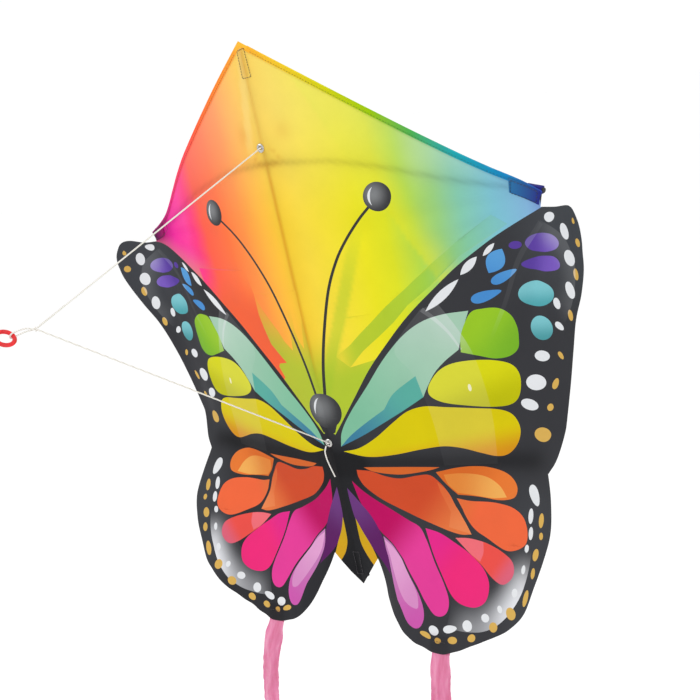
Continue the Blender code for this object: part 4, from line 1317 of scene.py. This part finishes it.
def make_spreader(name, side, looks):
    wing = f"wing_{name}"
    flat = through([(x, 0.0, z) for x, z in SPREADER_ROUTE], 8)
    path = [NOSE + Vector((side * p.x, sail_depth(p.x, p.z) + ROD_BEHIND, p.z)) for p in flat]
    path = [sagged(point, side) for point in path]
    rod = sweep(f"spreader_rod_{name}", path, ROD_RADIUS, looks["rod"], 20)
    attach(rod, wing)
    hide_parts(f"spreader_{name}")
    outward = (path[-1] - path[-2]).normalized()
    base = path[-1] - outward * 10.7 * MM
    cap = lathe(f"spreader_cap_{name}", cap_profile(ROD_RADIUS + 0.3 * MM), base, outward, looks["cap"])
    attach(cap, wing)
    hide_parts(f"tip_cap_{name}")
    inward = (path[0] - path[2]).normalized()
    inner = NOSE + Vector((side * 5.2 * MM, SPINE_DEPTH, HUB_HEIGHT))
    outer = path[0] - inward * 24 * MM
    middle_line = [inner, inner + Vector((side * 6 * MM, 0, 0)), path[0] + inward * 2 * MM,
        path[0] - inward * 10 * MM, outer]
    sleeve = sweep(f"vinyl_sleeve_{name}", through(middle_line, 8), 2.9 * MM, looks["vinyl"], 24)
    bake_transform(sleeve)
    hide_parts(f"hub_sleeve_{name}")


def make_eyelets(looks):
    profile = [
        (2.25, 1.9), (2.25, -0.6), (2.5, -1.05), (2.9, -1.25), (3.5, -1.30), (4.3, -1.15), (5.0, -0.80),
        (5.2, -0.45), (5.15, -0.25), (4.2, -0.30), (2.6, -0.30), (2.5, 1.2),
        (3.9, 1.25), (4.2, 1.45), (4.0, 1.8), (2.25, 1.9),
    ]
    for name, height in EYELET_HEIGHTS.items():
        scaled = [(r * MM, h * MM) for r, h in profile]
        eyelet = lathe(f"eyelet_rolled_{name}", scaled, NOSE + Vector((EYELET_ASIDE, 0, height)),
            (0, 1, 0), looks["metal"], 48)
        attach(eyelet, "frame")
        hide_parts(f"eyelet_{name}")


# ---------------------------------------------------------------- hems, pockets and stitches

def ribbon_mesh(name, rows, places, inks, look):
    """A skin over rows of points, with its ink and metres given for each point."""
    verts = [point for row in rows for point in row]
    across = len(rows[0])
    faces = []
    for i in range(len(rows) - 1):
        for k in range(across - 1):
            faces.append((i * across + k, i * across + k + 1, (i + 1) * across + k + 1,
                (i + 1) * across + k))
    mesh = bpy.data.meshes.new(name)
    mesh.from_pydata([NOSE + point for point in verts], [], faces)
    mesh.shade_smooth()
    add_metres(mesh, [place for row in places for place in row])
    layer = mesh.color_attributes.new("ink", "FLOAT_COLOR", "CORNER")
    flat = [ink for row in inks for ink in row]
    for loop in mesh.loops:
        layer.data[loop.index].color = (*(INK_STRENGTH * part for part in flat[loop.vertex_index]), 1)
    mesh.materials.append(look)
    return link(name, mesh)


def make_hem(name, side, looks):
    """The leading edge folded to the back: round the edge, in 7 mm, and a turned-under lip."""
    edge = catmull([(0.010, -0.0069), *LEADING_EDGE[1:5], (0.289, -0.199)], False, 4 * MM)
    section = [
        (0.9, -0.05), (0.15, -0.05), (-0.25, 0.35), (-0.1, 0.85), (0.5, 1.1),
        (3.8, 1.15), (7.0, 1.2), (7.25, 0.95), (7.0, 0.7),
    ]
    rows, places, inks = [], [], []
    for x, z in edge:
        rows.append([])
        for inward, depth in section:
            px, pz = x + HEM_SLANT[0] * inward * MM, z + HEM_SLANT[1] * inward * MM
            pucker = 0.12 * MM * math.sin(x * 1900)
            place = NOSE + Vector((side * px, sail_depth(px, pz) + depth * MM + pucker, pz))
            rows[-1].append(sagged(place, side) - NOSE)
        places.append([(x * 1.2, inward * MM) for inward, _ in section])
        inks.append([hem_ink(side, x, z)] * len(section))
    hem = ribbon_mesh(f"hem_fold_{name}", rows, places, inks, looks["hem"])
    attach(hem, f"wing_{name}")
    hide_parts(f"hem_{name}")


def dashes(name, lines, look, body, stitch=2.3 * MM, gap=1.3 * MM, radius=0.28 * MM, ahead=0.25 * MM,
    side=1):
    """Rows of stitches on the front of the sail: short arched thread lengths along each line."""
    verts, places, faces = [], [], []
    for start, end in lines:
        length = math.dist(start, end)
        count = max(1, round(length / (stitch + gap)))
        for k in range(count):
            for_line = [(k + 0.5) / count + d * stitch / length for d in (-0.5, -0.25, 0.25, 0.5)]
            lift = (0.0, radius, radius, 0.0)
            first = len(verts)
            for t, up in zip(for_line, lift):
                x, z = start[0] + (end[0] - start[0]) * t, start[1] + (end[1] - start[1]) * t
                along = Vector((end[0] - start[0], 0, end[1] - start[1])).normalized()
                across = along.cross(Vector((0, 1, 0)))
                middle = Vector((x, sail_depth(x, z) + wrinkle(x, z) - ahead - up, z))
                for corner in range(6):
                    a = math.tau * corner / 6
                    point = middle + across * radius * math.cos(a) + Vector((0, radius * math.sin(a), 0))
                    verts.append(sagged(NOSE + Vector((side * point.x, point.y, point.z)), side))
                    places.append((t * length, a * radius))
            for ring in range(3):
                for corner in range(6):
                    nxt = (corner + 1) % 6
                    base = first + ring * 6
                    faces.append((base + corner, base + nxt, base + 6 + nxt, base + 6 + corner))
    mesh = bpy.data.meshes.new(name)
    mesh.from_pydata(verts, [], faces)
    mesh.shade_smooth()
    add_metres(mesh, places)
    mesh.materials.append(look)
    piece = link(name, mesh)
    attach(piece, body)
    return piece


def make_stitches(name, side, looks):
    edge = [(x + HEM_SLANT[0] * 4.6 * MM, z + HEM_SLANT[1] * 4.6 * MM) for x,
        z in [(0.014, -0.0095), *LEADING_EDGE[1:5], (0.286, -0.1965)]]
    dashes(f"hem_stitches_{name}", list(zip(edge, edge[1:])), looks["thread"], f"wing_{name}",
        side=side, radius=0.15 * MM)
    patch = [(0.272, -0.1935), (0.3010, -0.2080), (0.2965, -0.2195), (0.2700, -0.2065)]
    lines = [(patch[i], patch[(i + 1) % 4]) for i in range(4)]
    dashes(f"tip_stitches_{name}", lines, looks["thread"], f"wing_{name}", side=side, ahead=1.75 * MM)


def make_nose_stitches(looks):
    corners = [(-0.0052, -0.0105), (0.0055, -0.0085), (0.0068, -0.0400), (-0.0062, -0.0405)]
    lines = [(corners[i], corners[(i + 1) % 4]) for i in range(4)]
    low = [(-0.0045, -0.6100), (0.0045, -0.6100), (0.0045, -0.6380), (-0.0045, -0.6380)]
    lines += [(low[i], low[(i + 1) % 4]) for i in range(4)]
    dashes("pocket_stitches", lines, looks["thread"], "frame", gap=0.6 * MM, ahead=0.4 * MM)


def pouch(name, inner, wall, depth, rim, axis, side_way, inks, look, body, node):
    """A soft rectangular pouch: rounded corners, a rolled rim and sides that belly a little."""
    axis, side_way = Vector(axis).normalized(), Vector(side_way).normalized()
    across = axis.cross(side_way)
    count = 32
    stations = [
        (0.0, 0.3 * depth), (0.0, 0.0), (0.5, -0.35 * MM), (1.0, 0.0), (1.0, 0.08 * depth),
        (1.0, 0.5 * depth), (1.0, 0.92 * depth), (0.75, depth), (-2.0, depth),
    ]
    rows, places, colours = [], [], []
    for share, along in stations:
        row = []
        for k in range(count + 1):
            a = math.tau * k / count
            swell = 1.0 + 0.04 * math.sin(math.pi * max(0.0, along) / depth) * math.cos(2 * a)
            corner = 0.35
            u = math.copysign(abs(math.cos(a)) ** corner, math.cos(a)) * swell
            v = math.copysign(abs(math.sin(a)) ** corner, math.sin(a)) * swell
            extra = wall * max(0.0, share)
            pinch = 0.02 if share < 0 else 1.0
            point = Vector(rim) + axis * along + (side_way * (inner[0] + extra) * u + across * (inner[1] + extra) * v) * pinch
            row.append(point - NOSE)
        rows.append(row)
        places.append([(k * 0.8 * MM, along) for k in range(count + 1)])
        colours.append([inks] * (count + 1))
    piece = ribbon_mesh(name, rows, places, colours, look)
    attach(piece, body)
    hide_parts(node)


def make_pockets(looks):
    half = (3.7 * MM, 3.7 * MM)
    drop = 28.3 * MM
    top = NOSE + Vector((0.0, SPINE_DEPTH, SPINE_TOP - drop))
    bottom = NOSE + Vector((0.0, SPINE_DEPTH, SPINE_END + drop))
    pouch("nose_pocket_cloth", half, 0.8 * MM, 30 * MM, top, (0, 0, 1), (1, 0, 0), linear("E8A83C"),
        looks["patch"], "frame", "nose_pocket")
    pouch("tail_pocket_cloth", half, 0.8 * MM, 30 * MM, bottom, (0, 0, -1), (1, 0, 0), linear("1E1C1E"),
        looks["patch"], "frame", "tail_pocket")
    for name, side in (("left", -1), ("right", 1)):
        flat = through([(x, 0.0, z) for x, z in SPREADER_ROUTE], 3)
        ends = [NOSE + Vector((side * p.x, sail_depth(p.x, p.z) + ROD_BEHIND, p.z)) for p in flat[-2:]]
        ends = [sagged(point, side) for point in ends]
        outward = (ends[1] - ends[0]).normalized()
        rim = ends[1] - outward * 20 * MM
        colour = linear("6A1A58") if side < 0 else linear("2C2A86")
        pouch(f"tip_pocket_cloth_{name}", (3.1 * MM, 3.5 * MM), 0.6 * MM, 19 * MM, rim, outward,
            (0, 1, 0), colour, looks["patch"], f"wing_{name}", f"tip_pocket_{name}")


def patch_grid(corners, columns, rows):
    """(x, z) places over a four-cornered patch, corner order round it."""
    a, b, c, d = corners
    grid = []
    for i in range(rows + 1):
        v = i / rows
        left = (a[0] + (d[0] - a[0]) * v, a[1] + (d[1] - a[1]) * v)
        right = (b[0] + (c[0] - b[0]) * v, b[1] + (c[1] - b[1]) * v)
        grid.append([(left[0] + (right[0] - left[0]) * k / columns,
            left[1] + (right[1] - left[1]) * k / columns) for k in range(columns + 1)])
    return grid


def make_tip_patch(name, side, looks):
    """The stitched patch over each tip: dark at its outer end, with quilted puckers."""
    inner = [(0.270, -0.1905), (0.268, -0.2060)] if side > 0 else [(0.282, -0.1970), (0.284, -0.2140)]
    grid = patch_grid([inner[0], (0.3045, -0.2085), (0.2985, -0.2220), inner[1]], 24, 12)
    rows, places, inks = [], [], []
    table = [linear("2C74A8"), linear("2A2E86")] if side > 0 else [linear("A01A68"), linear("5E1450")]
    for i, line in enumerate(grid):
        rows.append([])
        for k, (x, z) in enumerate(line):
            rim = min(i, 12 - i) == 0 or min(k, 24 - k) == 0
            pucker = 0.25 * MM * math.sin(k * 1.9) * math.sin(i * 1.3)
            depth = -0.45 * MM if rim else -1.45 * MM + pucker
            rows[-1].append(sagged(NOSE + Vector((side * x, sail_depth(x, z) + depth, z)), side) - NOSE)
        places.append([(x, z) for x, z in line])
        inks.append([mix(table[0], table[1], k / 24) for k in range(25)])
    patch = ribbon_mesh(f"tip_patch_cloth_{name}", rows, places, inks, looks["patch"])
    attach(patch, f"wing_{name}")
    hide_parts(f"tip_patch_{name}")


# ---------------------------------------------------------------- tails

TAIL_TOP = (0.1285, -0.7035)
TAIL_WIDTH = 26.0 * MM
TAIL_LENGTH = 0.594
TAIL_DRIFTS = {-1: 0.090, 1: 0.047}
TAIL_OVERLAP = 1.5 * MM
TAIL_TURNS = {-1: (0.33, 0.06), 1: (0.18, 0.42)}
TAIL_DRIFT_LENGTH = 0.14


def make_tail(name, side, looks):
    """A strip of film, gathered at its top, that crinkles and turns a little as it hangs."""
    rows, places, inks = [], [], []
    steps, across = 330, 16
    anchor = Vector((side * TAIL_TOP[0], sail_depth(*TAIL_TOP) + 3.6 * MM, TAIL_TOP[1]))
    for step in range(steps + 1):
        drop = TAIL_LENGTH * step / steps
        drift = TAIL_DRIFTS[side] * (1 - math.exp(-drop / TAIL_DRIFT_LENGTH))
        slope = TAIL_DRIFTS[side] / TAIL_DRIFT_LENGTH * math.exp(-drop / TAIL_DRIFT_LENGTH)
        lean = math.atan(slope) * min(1.0, drop / 0.03)
        sway = 3.0 * MM * math.sin(drop * 17 + side) * smooth(0.0, 0.1, drop)
        lift = TAIL_OVERLAP * smooth(0.03, 0.0, drop)
        centre = anchor + Vector((-drift, sway, lift - drop))
        narrow = 0.93 + 0.10 * noise.noise(Vector((drop * 30, side, 0.0)))
        first, last = TAIL_TURNS[side]
        twist = first * smooth(0.010, 0.024, drop) + (last - first) * smooth(0.024, 0.08, drop)
        twist += 0.5 * math.sin(drop * 9 - 1.2) * smooth(0.14, 0.30, drop)
        loose = smooth(0.008, 0.03, drop)
        sideways = Vector((math.cos(lean) * math.cos(twist), math.sin(twist), -math.sin(lean)))
        outward = Vector((-math.sin(twist), math.cos(twist), 0.0))
        rows.append([])
        places.append([])
        for k in range(across + 1):
            u = (k / across - 0.5) * TAIL_WIDTH
            fold = 1.8 * MM * noise.noise(Vector((u * 150, drop * 16, 2.0 + side))) * loose
            crinkle = abs(noise.noise(Vector((u * 90 + drop * 60, drop * 70,
                7.0 + side)))) * 2.4 * MM * loose
            cup = 1.2 * MM * math.cos(k / across * math.tau) * loose
            gather = 0.3 * MM * math.sin(k * 1.9) * smooth(0.03, 0.0, drop)
            rows[-1].append(centre + sideways * u * narrow + outward * (fold - crinkle + cup + gather))
            places[-1].append((u, drop))
        inks.append([linear("E58AAE")] * (across + 1))
    tail = ribbon_mesh(f"tail_film_{name}", rows, places, inks, looks["film"])
    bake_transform(tail)
    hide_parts(f"tail_{name}")


def make_tail_tab(name, side, looks):
    """The end of the film sewn behind the lower wing, gathered in small pleats."""
    half = TAIL_WIDTH / 2
    corners = [
        (TAIL_TOP[0] - half, -0.6835), (TAIL_TOP[0] + half, -0.6835),
        (TAIL_TOP[0] + half, -0.7033), (TAIL_TOP[0] - half, -0.7033),
    ]
    grid = patch_grid(corners, 32, 10)
    rows, places = [], []
    for line in grid:
        rows.append([])
        for k, (x, z) in enumerate(line):
            pleat = 0.35 * MM * math.sin(k * 1.4) + 1.0 * MM
            rows[-1].append(Vector((side * x, sail_depth(x, z) + wrinkle(x, z) * 0.5 + 1.2 * MM + pleat,
                z)))
        places.append([(x, z) for x, z in line])
    inks = [[linear("E58AAE")] * 33 for _ in grid]
    tab = ribbon_mesh(f"tail_tab_film_{name}", rows, places, inks, looks["film"])
    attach(tab, f"wing_{name}")
    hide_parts(f"tail_tab_{name}")
    bar = (TAIL_TOP[0] - 9 * MM, -0.6900), (TAIL_TOP[0] + 9 * MM, -0.6900)
    dashes(f"tail_stitches_{name}", [bar], looks["thread"], f"wing_{name}", side=side)


# ---------------------------------------------------------------- all of it


def make_wing(name, side, looks):
    cloth = make_sail(f"sail_print_{name}", side, looks["sail"])
    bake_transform(cloth)
    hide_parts(f"sail_{name}", "sail_middle")
    make_hem(name, side, looks)
    make_stitches(name, side, looks)
    make_spreader(name, side, looks)
    make_tip_patch(name, side, looks)
    make_tail_tab(name, side, looks)
    make_tail(name, side, looks)


make_camera()
all_looks = make_looks()
make_bridle(all_looks)
make_cord_end(all_looks)
make_ties(all_looks)
make_ring(all_looks)
make_spine(all_looks)
make_hub(all_looks)
make_eyelets(all_looks)
make_wing("left", -1, all_looks)
make_wing("right", 1, all_looks)
make_nose_stitches(all_looks)
make_pockets(all_looks)
make_light()
make_floor()
